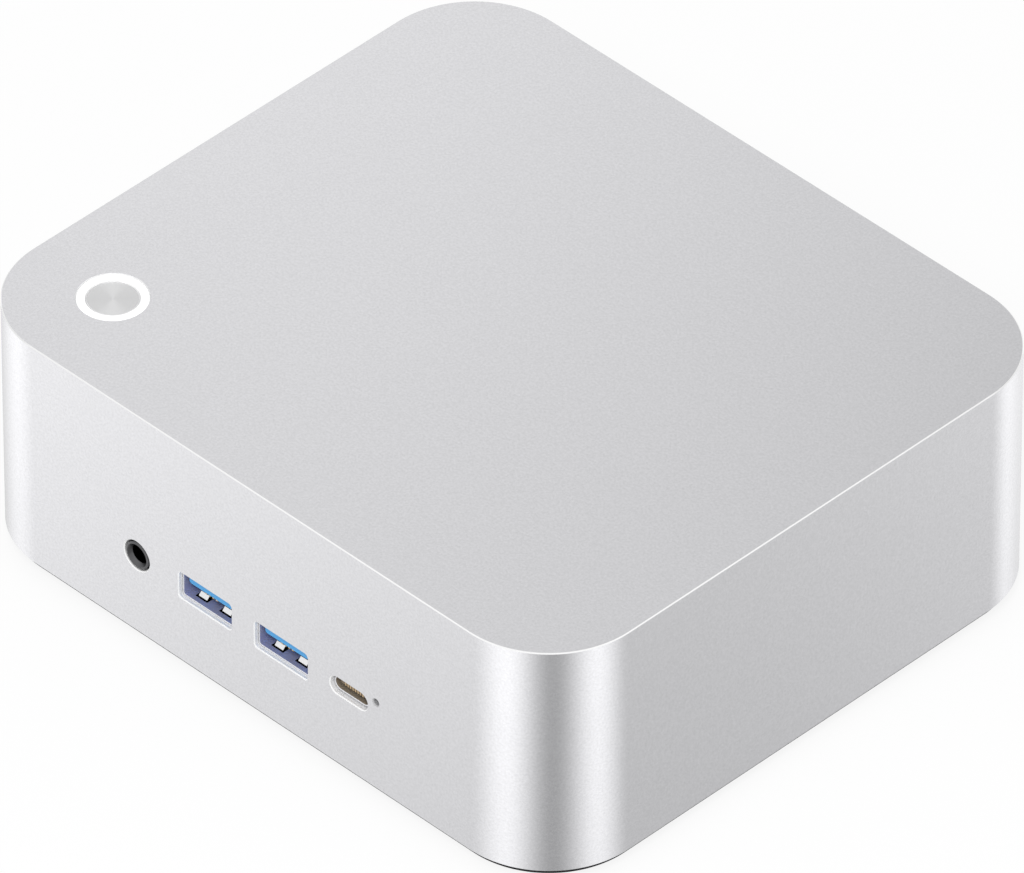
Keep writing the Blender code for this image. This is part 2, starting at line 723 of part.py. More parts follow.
def make_top_housing(root):
    """Lid and walls in one shell, with posts inside and openings for the sockets, panel and button."""
    shell = loft([
        flat(housing_outline(WALL), CEILING),
        flat(housing_outline(WALL), HOUSING_BOTTOM),
        flat(housing_outline(0.0), HOUSING_BOTTOM),
        flat(housing_outline(0.0), HOUSING_TOP - EDGE_CHAMFER),
        flat(housing_outline(EDGE_CHAMFER), HOUSING_TOP),
    ])
    body = piece("top_housing", shell, "silver_aluminium", root)

    posts = []
    bores = []
    bore_radius = SCREW_RADIUS + HOLE_GAP
    for corner, place in zip(corners(), post_places()):
        outline = post_outline(corner, place, POST_RADIUS, POST_INSET - WALL / 2)
        posts.append(prism(outline, POST_END, CEILING + LID / 2))
        bores.append(prism(circle(bore_radius, HOLE_STEPS, place), POST_END - OVERSHOOT,
                           POST_END + POST_BORE_DEPTH))
    for place in standoff_places():
        low = BOARD_HIGH + SEAT_GAP
        posts.append(prism(circle(STANDOFF_RADIUS, HOLE_STEPS, place), low, CEILING + LID / 2))
        bores.append(prism(circle(bore_radius, HOLE_STEPS, place), low - OVERSHOOT, low + POST_BORE_DEPTH))
    for ear_x, ear_y in ear_places():
        place = (BUTTON_X + ear_x, BUTTON_Y + ear_y)
        posts.append(prism(circle(LID_BOSS_RADIUS, HOLE_STEPS, place), RING_FLANGE_LOW, CEILING + LID / 2))
        bores.append(prism(circle(HOLDER_SCREW_RADIUS + SLIDE_GAP, HOLE_STEPS, place),
                           RING_FLANGE_LOW - OVERSHOOT, CEILING))
    fuse(body, *posts)
    cut(body, *bores)

    relief_left = AUDIO_X - AUDIO_WIDTH / 2 - RELIEF_MARGIN
    relief_right = RESET_X + RESET_WIDTH / 2 + RELIEF_MARGIN
    relief_low = HOUSING_BOTTOM + AUDIO_Z - AUDIO_WIDTH / 2 - RELIEF_MARGIN
    relief_high = BOARD_HIGH + RELIEF_MARGIN
    cut(body, block((relief_left, FRONT + SOCKET_WALL, relief_low),
                    (relief_right, FRONT + WALL + OVERSHOOT, relief_high)))

    openings = [mouth_cutter(audio_mouth, AUDIO_X, HOUSING_BOTTOM + AUDIO_Z, FRONT, 1, WALL + OVERSHOOT)]
    for x in TYPE_A_FRONT_X:
        openings.append(mouth_cutter(type_a_mouth, x, HOUSING_BOTTOM + TYPE_A_Z, FRONT, 1, WALL + OVERSHOOT))
    openings.append(mouth_cutter(type_c_mouth, TYPE_C_X, HOUSING_BOTTOM + TYPE_C_Z, FRONT, 1,
                                 WALL + OVERSHOOT))
    openings.append(mouth_cutter(reset_mouth, RESET_X, HOUSING_BOTTOM + RESET_Z, FRONT, 1, WALL + OVERSHOOT))
    openings.append(loft([upright(panel_outline(0.0), REAR - WALL - OVERSHOOT),
                          upright(panel_outline(0.0), REAR + OVERSHOOT)]))
    openings.append(prism(circle(RING_OUTER_RADIUS + SLIDE_GAP, BUTTON_STEPS, (BUTTON_X, BUTTON_Y)),
                          CEILING - OVERSHOOT, HOUSING_TOP + OVERSHOOT))
    cut(body, *openings)


def intake_slots():
    """Two rows of air slots through the base cover."""
    room = WIDTH - 2 * INTAKE_SIDE_MARGIN
    count = int((room - INTAKE_WIDTH) / INTAKE_PITCH) + 1
    offset = (INTAKE_LENGTH + INTAKE_ROW_GAP) / 2
    slots = []
    for row in (-1, 1):
        for index in range(count):
            x = (index - (count - 1) / 2) * INTAKE_PITCH
            outline = slot(INTAKE_WIDTH, INTAKE_LENGTH, SLOT_STEPS, (x, row * offset))
            slots.append(prism(outline, FOOT_HEIGHT - OVERSHOOT, COVER_TOP + OVERSHOOT))
    return slots


def foot_places():
    """Centre of each foot."""
    return [(a * (WIDTH / 2 - FOOT_INSET), b * (DEPTH / 2 - FOOT_INSET)) for a, b in corners()]


def make_bottom_cover(root):
    """Base plate under the housing's edge, with a lip inside the walls, air slots and screw bosses."""
    tray = loft([
        flat(housing_outline(COVER_INSET), FOOT_HEIGHT),
        flat(housing_outline(COVER_INSET), HOUSING_BOTTOM - SEAT_GAP),
        flat(housing_outline(WALL + SEAT_GAP), HOUSING_BOTTOM - SEAT_GAP),
        flat(housing_outline(WALL + SEAT_GAP), LIP_TOP),
        flat(housing_outline(WALL + SEAT_GAP + LIP_THICKNESS), LIP_TOP),
        flat(housing_outline(WALL + SEAT_GAP + LIP_THICKNESS), COVER_TOP),
    ])
    body = piece("bottom_cover", tray, "black_plastic", root)
    bosses = [prism(circle(POST_RADIUS, HOLE_STEPS, place), COVER_TOP - OVERLAP, LIP_TOP)
              for place in post_places()]
    fuse(body, *bosses)
    holes = intake_slots()
    for place in foot_places():
        holes.append(turned([(FOOT_RADIUS + SEAT_GAP, FOOT_HEIGHT - OVERSHOOT),
                             (FOOT_RADIUS + SEAT_GAP, FOOT_HEIGHT + FOOT_SEAT)], FOOT_STEPS, place))
    head = SCREW_HEAD_RADIUS + HOLE_GAP
    shank = SCREW_RADIUS + HOLE_GAP
    seat = FOOT_HEIGHT + SCREW_HEAD_HEIGHT + SEAT_GAP
    for place in post_places():
        holes.append(turned([(head, FOOT_HEIGHT - OVERSHOOT), (head, seat), (shank, seat),
                             (shank, LIP_TOP + OVERSHOOT)], HOLE_STEPS, place))
    cut(body, *holes)


def make_feet(root):
    """Four rubber feet, each seated in a shallow recess of the base cover."""
    for index, (x, y) in enumerate(foot_places()):
        foot = turned([
            (FOOT_RADIUS - FOOT_EDGE, 0.0),
            (FOOT_RADIUS, FOOT_EDGE),
            (FOOT_RADIUS, FOOT_HEIGHT + FOOT_SEAT - SEAT_GAP),
        ], FOOT_STEPS)
        piece(f"rubber_foot_{index + 1}", foot, "black_rubber", root, (x, y, 0.0))


def screw(head_radius, head_height, radius, length):
    """Screw that points up from the origin, which is under its head's bearing face."""
    return turned([
        (head_radius - SCREW_EDGE, -head_height),
        (head_radius, -head_height + SCREW_EDGE),
        (head_radius, 0.0),
        (radius, 0.0),
        (radius, length),
    ], SCREW_STEPS)


def make_screws(root):
    """Screws of the base cover, the motherboard and the button holder."""
    for index, (x, y) in enumerate(post_places()):
        place = (x, y, FOOT_HEIGHT + SCREW_HEAD_HEIGHT)
        body = screw(SCREW_HEAD_RADIUS, SCREW_HEAD_HEIGHT, SCREW_RADIUS, SCREW_LENGTH)
        piece(f"cover_screw_{index + 1}", body, "screw_steel", root, place)
    for index, (x, y) in enumerate(standoff_places()):
        place = (x, y, BOARD_LOW - SEAT_GAP)
        body = screw(SCREW_HEAD_RADIUS, SCREW_HEAD_HEIGHT, SCREW_RADIUS, SCREW_LENGTH)
        piece(f"board_screw_{index + 1}", body, "screw_steel", root, place)
    low = HOLDER_TOP - EAR_THICKNESS - SEAT_GAP
    length = CEILING - SEAT_GAP - low
    for index, (x, y) in enumerate(ear_places()):
        place = (BUTTON_X + x, BUTTON_Y + y, low)
        body = screw(HOLDER_SCREW_HEAD_RADIUS, HOLDER_SCREW_HEAD_HEIGHT, HOLDER_SCREW_RADIUS, length)
        piece(f"holder_screw_{index + 1}", body, "screw_steel", root, place)


def make_power_button(root):
    """Lit ring held under the lid, the cap that slides in it, and the holder with its switch."""
    axis = empty("button_axis", (BUTTON_X, BUTTON_Y, 0.0), root)

    ring = turned([
        (RING_OUTER_RADIUS, RING_TOP),
        (RING_OUTER_RADIUS, RING_FLANGE_TOP),
        (RING_OUTER_RADIUS + RING_FLANGE_REACH, RING_FLANGE_TOP),
        (RING_OUTER_RADIUS + RING_FLANGE_REACH, RING_FLANGE_LOW),
        (RING_BORE, RING_FLANGE_LOW),
        (RING_BORE, RING_TOP),
    ], BUTTON_STEPS, ring=True)
    piece("light_ring", ring, "lit_diffuser", axis)

    cap = turned([
        (STEM_RADIUS, STEM_LOW),
        (STEM_RADIUS, CAP_FLANGE_LOW),
        (BUTTON_RADIUS + CAP_FLANGE_REACH, CAP_FLANGE_LOW),
        (BUTTON_RADIUS + CAP_FLANGE_REACH, HOLDER_TOP),
        (BUTTON_RADIUS, HOLDER_TOP),
        (BUTTON_RADIUS, CAP_TOP - BUTTON_EDGE),
        (BUTTON_RADIUS - BUTTON_EDGE, CAP_TOP),
    ], BUTTON_STEPS)
    piece("power_button_cap", cap, "spun_metal", axis)

    plunger = prism(circle(PLUNGER_RADIUS, HOLE_STEPS), PLUNGER_LOW, PLUNGER_TOP)
    piece("switch_plunger", plunger, "black_tongue", axis)

    switch = piece("power_switch", prism(rectangle(SWITCH_SIDE, SWITCH_SIDE), SWITCH_LOW, SWITCH_TOP),
                   "socket_steel", axis)
    cut(switch, prism(circle(PLUNGER_RADIUS + SLIDE_GAP, HOLE_STEPS),
                      PLUNGER_LOW - BUTTON_TRAVEL - SEAT_GAP, SWITCH_TOP + OVERSHOOT))

    board = prism(circle(HOLDER_BORE_RADIUS - SEAT_GAP, BORE_STEPS), BUTTON_BOARD_LOW, BUTTON_BOARD_TOP)
    piece("button_board", board, "circuit_board", axis)

    cup = turned([(HOLDER_BORE_RADIUS + HOLDER_WALL, HOLDER_LOW),
                  (HOLDER_BORE_RADIUS + HOLDER_WALL, HOLDER_TOP)], BORE_STEPS)
    holder = piece("button_holder", cup, "black_plastic", axis)
    outline = []
    for turn in EAR_TURNS:
        middle = (EAR_DISTANCE * math.cos(turn), EAR_DISTANCE * math.sin(turn))
        outline += arc(EAR_RADIUS, turn - math.pi / 2, turn + math.pi / 2, HOLE_STEPS // 2, middle)
    fuse(holder, prism(outline, HOLDER_TOP - EAR_THICKNESS, HOLDER_TOP))
    holes = [prism(circle(HOLDER_BORE_RADIUS, BORE_STEPS), HOLDER_FLOOR_TOP, HOLDER_TOP + OVERSHOOT)]
    for place in ear_places():
        holes.append(prism(circle(HOLDER_SCREW_RADIUS + HOLE_GAP, HOLE_STEPS, place),
                           HOLDER_TOP - EAR_THICKNESS - OVERSHOOT, HOLDER_TOP + OVERSHOOT))
    cut(holder, *holes)


def make_rear_panel(root):
    """Panel in the rear window: a thin plate with a rim and flange behind the wall, and its openings."""
    face = REAR - PANEL_RECESS
    plate_back = face - PANEL_THICKNESS
    flange_front = INNER_DEPTH / 2 - SEAT_GAP
    flange_back = flange_front - PANEL_FLANGE_THICKNESS
    plate = loft([
        upright(panel_outline(-SEAT_GAP), face),
        upright(panel_outline(-SEAT_GAP), flange_front),
        upright(panel_outline(PANEL_FLANGE_REACH), flange_front),
        upright(panel_outline(PANEL_FLANGE_REACH), flange_back),
        upright(panel_outline(-SEAT_GAP - PANEL_RIM), flange_back),
        upright(panel_outline(-SEAT_GAP - PANEL_RIM), plate_back),
    ])
    body = piece("rear_panel", plate, "black_plastic", root)

    holes = []
    for kind, mouth in REAR_MOUTHS.items():
        holes.append(mouth_cutter(mouth, REAR_X[kind], REAR_Z[kind], face, -1, PANEL_THICKNESS + OVERSHOOT))
    low = BOARD_HIGH + PART_GAP
    high = PANEL_HIGH - PANEL_RIM - EXHAUST_MARGIN
    room = PANEL_WIDTH - 2 * EXHAUST_SIDE_MARGIN
    count = int((room - EXHAUST_WIDTH) / EXHAUST_PITCH) + 1
    for index in range(count):
        x = (index - (count - 1) / 2) * EXHAUST_PITCH
        outline = slot(EXHAUST_WIDTH, high - low, SLOT_STEPS, (x, (low + high) / 2))
        holes.append(loft([upright(outline, plate_back - OVERSHOOT), upright(outline, face + OVERSHOOT)]))
    cut(body, *holes)


def socket_shell(cavity, rim, body, length, collar, back):
    """Metal socket that opens at Y = 0: a rim, then a taller body that reaches up to the board."""
    return loft([
        upright(cavity, length - back),
        upright(cavity, 0.0),
        upright(rim, 0.0),
        upright(rim, collar),
        upright(body, collar),
        upright(body, length),
    ])


def make_type_a(name, x, y, turn, tongue, parent):
    """Type-A socket: a steel shell, and an insulator whose tongue stands in its upper half."""
    z = HOUSING_BOTTOM + TYPE_A_Z
    outer_width = TYPE_A_INNER_WIDTH + 2 * TYPE_A_SHELL
    outer_height = TYPE_A_INNER_HEIGHT + 2 * TYPE_A_SHELL
    saddle = SOCKET_ROOF - z - outer_height / 2
    radius = TYPE_A_INNER_RADIUS + TYPE_A_SHELL
    cavity = rounded_rectangle(TYPE_A_INNER_WIDTH, TYPE_A_INNER_HEIGHT, TYPE_A_INNER_RADIUS, MOUTH_STEPS)
    rim = rounded_rectangle(outer_width, outer_height, radius, MOUTH_STEPS)
    body = rounded_rectangle(outer_width, outer_height + saddle, radius, MOUTH_STEPS, (0.0, saddle / 2))
    shell = socket_shell(cavity, rim, body, TYPE_A_LENGTH, TYPE_A_COLLAR, TYPE_A_BACK)
    piece(f"{name}_shell", shell, "socket_steel", parent, (x, y, z), turn)

    top = TYPE_A_INNER_HEIGHT / 2 - TYPE_A_TONGUE_GAP
    low = top - TYPE_A_TONGUE_THICKNESS
    root_y = TYPE_A_TONGUE_SETBACK + TYPE_A_TONGUE_LENGTH
    back = TYPE_A_LENGTH - TYPE_A_BACK - SEAT_GAP
    half = TYPE_A_INNER_HEIGHT / 2 - SEAT_GAP
    profile = [
        (TYPE_A_TONGUE_SETBACK, top - TYPE_A_TIP_CHAMFER),
        (TYPE_A_TONGUE_SETBACK, low + TYPE_A_TIP_CHAMFER),
        (TYPE_A_TONGUE_SETBACK + TYPE_A_TIP_CHAMFER, low),
        (root_y, low),
        (root_y, -half),
        (back, -half),
        (back, half),
        (root_y, half),
        (root_y, top),
        (TYPE_A_TONGUE_SETBACK + TYPE_A_TIP_CHAMFER, top),
    ]
    half_width = TYPE_A_TONGUE_WIDTH / 2
    insulator = loft([sideways(profile, -half_width), sideways(profile, half_width)])
    piece(f"{name}_tongue", insulator, tongue, parent, (x, y, z), turn)


def stadium(width, height):
    """Outline with round ends, each with a short flat."""
    return rounded_rectangle(width, height, (height - TYPE_C_END_FLAT) / 2, TYPE_C_STEPS)


def make_type_c(name, x, y, turn, parent):
    """Type-C socket: a steel shell with round ends, and a thin tongue across its middle."""
    z = HOUSING_BOTTOM + TYPE_C_Z
    outer_width = TYPE_C_INNER_WIDTH + 2 * TYPE_C_SHELL
    outer_height = TYPE_C_INNER_HEIGHT + 2 * TYPE_C_SHELL
    saddle = SOCKET_ROOF - z - outer_height / 2
    cavity = stadium(TYPE_C_INNER_WIDTH, TYPE_C_INNER_HEIGHT)
    rim = stadium(outer_width, outer_height)
    radius = TYPE_C_SHELL
    body = rounded_rectangle(outer_width, outer_height + saddle, radius, TYPE_C_STEPS, (0.0, saddle / 2))
    shell = socket_shell(cavity, rim, body, TYPE_C_LENGTH, TYPE_C_COLLAR, TYPE_C_BACK)
    piece(f"{name}_shell", shell, "socket_steel", parent, (x, y, z), turn)

    blade = rectangle(TYPE_C_TONGUE_WIDTH, TYPE_C_TONGUE_THICKNESS)
    root = rectangle(TYPE_C_INNER_WIDTH - TYPE_C_INNER_HEIGHT, TYPE_C_INNER_HEIGHT - 2 * SEAT_GAP)
    root_y = TYPE_C_TONGUE_SETBACK + TYPE_C_TONGUE_LENGTH
    tongue = loft([
        upright(blade, TYPE_C_TONGUE_SETBACK),
        upright(blade, root_y),
        upright(root, root_y),
        upright(root, TYPE_C_LENGTH - TYPE_C_BACK - SEAT_GAP),
    ])
    piece(f"{name}_tongue", tongue, "black_tongue", parent, (x, y, z), turn)


def make_audio_jack(parent):
    """Audio jack: a block under the board with a round nose in the front wall and a bored hole."""
    z = HOUSING_BOTTOM + AUDIO_Z
    half = AUDIO_WIDTH / 2
    body_front = SOCKET_WALL + SEAT_GAP - AUDIO_NOSE_SETBACK
    shape = rounded_rectangle(AUDIO_WIDTH, SOCKET_ROOF - z + half, AUDIO_FUNNEL, MOUTH_STEPS,
                              (0.0, (SOCKET_ROOF - z - half) / 2))
    body = piece("audio_jack", loft([upright(shape, body_front), upright(shape, AUDIO_LENGTH)]),
                 "dark_collar", parent, (AUDIO_X, FRONT + AUDIO_NOSE_SETBACK, z))
    nose = circle(AUDIO_NOSE_RADIUS, 2 * HOLE_STEPS)
    fuse(body, loft([upright(nose, 0.0), upright(nose, body_front + OVERLAP)]))
    bore = circle(AUDIO_BORE_RADIUS, 2 * HOLE_STEPS)
    funnel = circle(AUDIO_BORE_RADIUS + 2 * AUDIO_FUNNEL, 2 * HOLE_STEPS)
    cut(body, loft([upright(funnel, -AUDIO_FUNNEL), upright(bore, AUDIO_FUNNEL),
                    upright(bore, AUDIO_BORE_DEPTH)]))


def make_reset_switch(parent):
    """Side-pressed switch behind the pinhole, and its plunger."""
    z = HOUSING_BOTTOM + RESET_Z
    tip = FRONT + SOCKET_WALL + RESET_SETBACK
    axis = empty("reset_axis", (RESET_X, tip, z), parent)
    rod = circle(RESET_PLUNGER_RADIUS, HOLE_STEPS)
    rod_end = RESET_PLUNGER_RISE + RESET_PLUNGER_BURIED
    piece("reset_plunger", loft([upright(rod, 0.0), upright(rod, rod_end)]), "black_tongue", axis)

    low = -RESET_HEIGHT / 2
    high = SOCKET_ROOF - z
    shape = rectangle(RESET_WIDTH, high - low, (0.0, (high + low) / 2))
    back = RESET_PLUNGER_RISE + RESET_LENGTH
    switch = piece("reset_switch", loft([upright(shape, RESET_PLUNGER_RISE), upright(shape, back)]),
                   "socket_steel", axis)
    bore = circle(RESET_PLUNGER_RADIUS + SLIDE_GAP, HOLE_STEPS)
    cut(switch, loft([upright(bore, RESET_PLUNGER_RISE - OVERSHOOT),
                      upright(bore, rod_end + RESET_TRAVEL + SEAT_GAP)]))


def make_front_sockets(root):
    """Row of sockets in the front wall."""
    group = empty("front_sockets", parent=root)
    make_audio_jack(group)
    for index, x in enumerate(TYPE_A_FRONT_X):
        make_type_a(f"type_a_front_{index + 1}", x, FRONT_SOCKET_Y, 0.0, "blue_tongue", group)
    make_type_c("type_c_front", TYPE_C_X, FRONT_SOCKET_Y, 0.0, group)
    make_reset_switch(group)


def make_network_socket(name, kind, parent):
    """Network socket: a block with a stepped opening, wide for the plug and narrow for its latch."""
    half = NETWORK_PLUG_WIDTH / 2
    latch = NETWORK_LATCH_WIDTH / 2
    top = NETWORK_HEIGHT / 2 - NETWORK_PLUG_ROOF
    low = top - NETWORK_PLUG_HEIGHT
    outline = [(half, low), (half, top), (-half, top), (-half, low), (-latch, low),
               (-latch, low - NETWORK_LATCH_HEIGHT), (latch, low - NETWORK_LATCH_HEIGHT), (latch, low)]
    shape = rectangle(NETWORK_WIDTH, NETWORK_HEIGHT)
    body = piece(name, loft([upright(shape, 0.0), upright(shape, NETWORK_LENGTH)]), "socket_steel",
                 parent, (REAR_X[kind], REAR_SOCKET_Y, REAR_Z[kind]), math.pi)
    cut(body, loft([upright(outline, -OVERSHOOT), upright(outline, NETWORK_PLUG_DEPTH)]))


def make_video_socket(parent):
    """Video socket: a shell with two cut corners, and a flat tongue."""
    width = VIDEO_INNER_WIDTH + 2 * VIDEO_SHELL
    height = VIDEO_INNER_HEIGHT + 2 * VIDEO_SHELL
    cavity = video_outline(VIDEO_INNER_WIDTH, VIDEO_INNER_HEIGHT, VIDEO_INNER_CHAMFER)
    rim = video_outline(width, height, VIDEO_INNER_CHAMFER)
    lift = VIDEO_SADDLE / 2
    body = [(x, z + lift) for x, z in video_outline(width, height + VIDEO_SADDLE, VIDEO_INNER_CHAMFER)]
    place = (REAR_X["video"], REAR_SOCKET_Y, REAR_Z["video"])
    shell = socket_shell(cavity, rim, body, VIDEO_LENGTH, VIDEO_COLLAR, VIDEO_BACK)
    piece("video_shell", shell, "socket_steel", parent, place, math.pi)

    blade = rectangle(VIDEO_TONGUE_WIDTH, VIDEO_TONGUE_THICKNESS)
    root = rectangle(VIDEO_TONGUE_WIDTH, VIDEO_INNER_HEIGHT - 2 * SEAT_GAP)
    root_y = VIDEO_TONGUE_SETBACK + VIDEO_TONGUE_LENGTH
    tongue = loft([
        upright(blade, VIDEO_TONGUE_SETBACK),
        upright(blade, root_y),
        upright(root, root_y),
        upright(root, VIDEO_LENGTH - VIDEO_BACK - SEAT_GAP),
    ])
    piece("video_tongue", tongue, "black_tongue", parent, place, math.pi)


def make_power_inlet(parent):
    """Power inlet: a block with a round bore and a pin along its middle."""
    shape = rectangle(INLET_WIDTH, INLET_HEIGHT)
    body = piece("power_inlet", loft([upright(shape, 0.0), upright(shape, INLET_LENGTH)]), "black_tongue",
                 parent, (REAR_X["inlet"], REAR_SOCKET_Y, REAR_Z["inlet"]), math.pi)
    bore = circle(INLET_BORE_RADIUS, BORE_STEPS)
    pin = circle(INLET_PIN_RADIUS, BORE_STEPS)
    cut(body, loft([
        upright(bore, -OVERSHOOT),
        upright(bore, INLET_BORE_DEPTH),
        upright(pin, INLET_BORE_DEPTH),
        upright(pin, INLET_PIN_SETBACK),
    ]))


def make_rear_sockets(root):
    """Row of sockets behind the rear panel."""
    group = empty("rear_sockets", parent=root)
    for number in (1, 2):
        make_network_socket(f"network_socket_{number}", f"network_{number}", group)
    make_type_a("type_a_rear", REAR_X["type_a"], REAR_SOCKET_Y, math.pi, "black_tongue", group)
    make_video_socket(group)
    make_type_c("type_c_rear", REAR_X["type_c"], REAR_SOCKET_Y, math.pi, group)
    make_power_inlet(group)


def drive_post_place():
    """Where the post and screw hold the drive's free end."""
    return (DRIVE_LEFT, DRIVE_Y)


def make_motherboard(root):
    """Board under the posts, cut away round the corner posts, with screw holes and the drive's post."""
    radius = CORNER_RADIUS - WALL - BOARD_MARGIN
    outline = rounded_rectangle(BOARD_WIDTH, BOARD_DEPTH, radius, CORNER_STEPS // 2)
    body = piece("motherboard", prism(outline, BOARD_LOW, BOARD_HIGH), "circuit_board", root)
    post = drive_post_place()
    fuse(body, prism(circle(DRIVE_POST_RADIUS, HOLE_STEPS, post),
                     DRIVE_LEVEL + DRIVE_THICKNESS / 2 + SEAT_GAP, BOARD_LOW + OVERLAP))
    holes = []
    for corner, place in zip(corners(), post_places()):
        notch = post_outline(corner, place, POST_RADIUS + BOARD_CLEARANCE, POST_INSET)
        holes.append(prism(notch, BOARD_LOW - OVERSHOOT, BOARD_HIGH + OVERSHOOT))
    for place in standoff_places():
        holes.append(prism(circle(SCREW_RADIUS + HOLE_GAP, HOLE_STEPS, place), BOARD_LOW - OVERSHOOT,
                           BOARD_HIGH + OVERSHOOT))
    holes.append(prism(circle(HOLDER_SCREW_RADIUS + SLIDE_GAP, HOLE_STEPS, post),
                       DRIVE_LEVEL - OVERSHOOT, BOARD_HIGH + OVERSHOOT))
    cut(body, *holes)


def make_processor(root):
    """Processor package with its raised die, and the copper plate on it."""
    outer = rectangle(PROCESSOR_WIDTH, PROCESSOR_DEPTH, (0.0, PROCESSOR_Y))
    inner = rectangle(PROCESSOR_WIDTH - 2 * PROCESSOR_DIE_INSET, PROCESSOR_DEPTH - 2 * PROCESSOR_DIE_INSET,
                      (0.0, PROCESSOR_Y))
    shoulder = PROCESSOR_TOP - PROCESSOR_DIE_HEIGHT
    package = loft([flat(outer, PROCESSOR_LOW), flat(outer, shoulder), flat(inner, shoulder),
                    flat(inner, PROCESSOR_TOP)])
    piece("processor", package, "chip_package", root)
    plate = rounded_rectangle(COLD_PLATE_SIDE, COLD_PLATE_SIDE, COLD_PLATE_RADIUS, MOUTH_STEPS,
                              (0.0, PROCESSOR_Y))
    piece("cold_plate", prism(plate, COLD_PLATE_LOW, COLD_PLATE_TOP), "copper", root)


def pipe_section(place, heading):
    """Flattened tube's section, square to its heading in plan."""
    side = (-math.sin(heading), math.cos(heading))
    outline = rounded_rectangle(PIPE_WIDTH, PIPE_THICKNESS, PIPE_THICKNESS / 2 - SLIDE_GAP, MOUTH_STEPS)
    middle = PIPE_LOW + PIPE_THICKNESS / 2
    return [(place[0] + a * side[0], place[1] + a * side[1], middle + b) for a, b in outline]


def make_heat_pipes(root):
    """Two flattened pipes from the cold plate to the fins, each turned outwards under the fins."""
    front = PROCESSOR_Y - COLD_PLATE_SIDE / 2 + PIPE_WIDTH / 2
    run = (FIN_FRONT + FIN_REAR) / 2
    for name, sign in (("heat_pipe_left", -1), ("heat_pipe_right", 1)):
        x = sign * PIPE_SPACING / 2
        middle = (x + sign * PIPE_BEND_RADIUS, run - PIPE_BEND_RADIUS)
        sections = [pipe_section((x, front), math.pi / 2)]
        for step in range(PIPE_BEND_STEPS + 1):
            turn = math.pi / 2 * step / PIPE_BEND_STEPS
            place = (middle[0] - sign * PIPE_BEND_RADIUS * math.cos(turn),
                     middle[1] + PIPE_BEND_RADIUS * math.sin(turn))
            sections.append(pipe_section(place, math.pi / 2 - sign * turn))
        end = (sign * (FIN_ROOM / 2 - PIPE_END_MARGIN), run)
        sections.append(pipe_section(end, math.pi / 2 - sign * math.pi / 2))
        piece(name, loft(sections), "copper", root)


def make_fin_stack(root):
    """Comb of fins in the blower's outlet, on a root plate that rests on the pipes."""
    count = int((FIN_ROOM - FIN_THICKNESS) / FIN_PITCH) + 1
    half = ((count - 1) * FIN_PITCH + FIN_THICKNESS) / 2
    outline = [(-half, FAN_LOW), (half, FAN_LOW)]
    for index in reversed(range(count)):
        left = -half + index * FIN_PITCH
        right = left + FIN_THICKNESS
        if index < count - 1:
            outline.append((right, FAN_LOW + FIN_ROOT))
        outline.append((right, FAN_TOP))
        outline.append((left, FAN_TOP))
        if index > 0:
            outline.append((left, FAN_LOW + FIN_ROOT))
    piece("fin_stack", loft([upright(outline, FIN_FRONT), upright(outline, FIN_REAR)]), "fin_aluminium", root)


def scroll(grow, outlet):
    """Blower's scroll in plan about its axis: a spiral from the cut-off that opens into the outlet."""
    start = math.radians(FAN_CUTOFF_ANGLE)
    points = [(FAN_OUTLET_LEFT - grow, outlet)]
    for step in range(FAN_SCROLL_STEPS + 1):
        share = step / FAN_SCROLL_STEPS
        angle = start + (2 * math.pi - start) * share
        radius = FAN_SCROLL_RADIUS + FAN_SCROLL_GROWTH * share + grow
        points.append((radius * math.cos(angle), radius * math.sin(angle)))
    points.append((FAN_OUTLET_RIGHT + grow, outlet))
    return points


def blade_outline():
    """Rotor in plan: swept blades of even thickness round a core inside the hub."""
    core = FAN_HUB_RADIUS - OVERLAP
    points = []
    for index in range(FAN_BLADES):
        root_angle = 2 * math.pi * index / FAN_BLADES
        leading = []
        trailing = []
        for step in range(FAN_BLADE_STEPS + 1):
            share = step / FAN_BLADE_STEPS
            radius = core + (FAN_RADIUS - core) * share
            angle = root_angle - math.radians(FAN_BLADE_SWEEP) * share ** 1.3
            half = FAN_BLADE_THICKNESS / 2 / radius
            leading.append((radius * math.cos(angle - half), radius * math.sin(angle - half)))
            trailing.append((radius * math.cos(angle + half), radius * math.sin(angle + half)))
        points += leading + trailing[::-1]
    return points


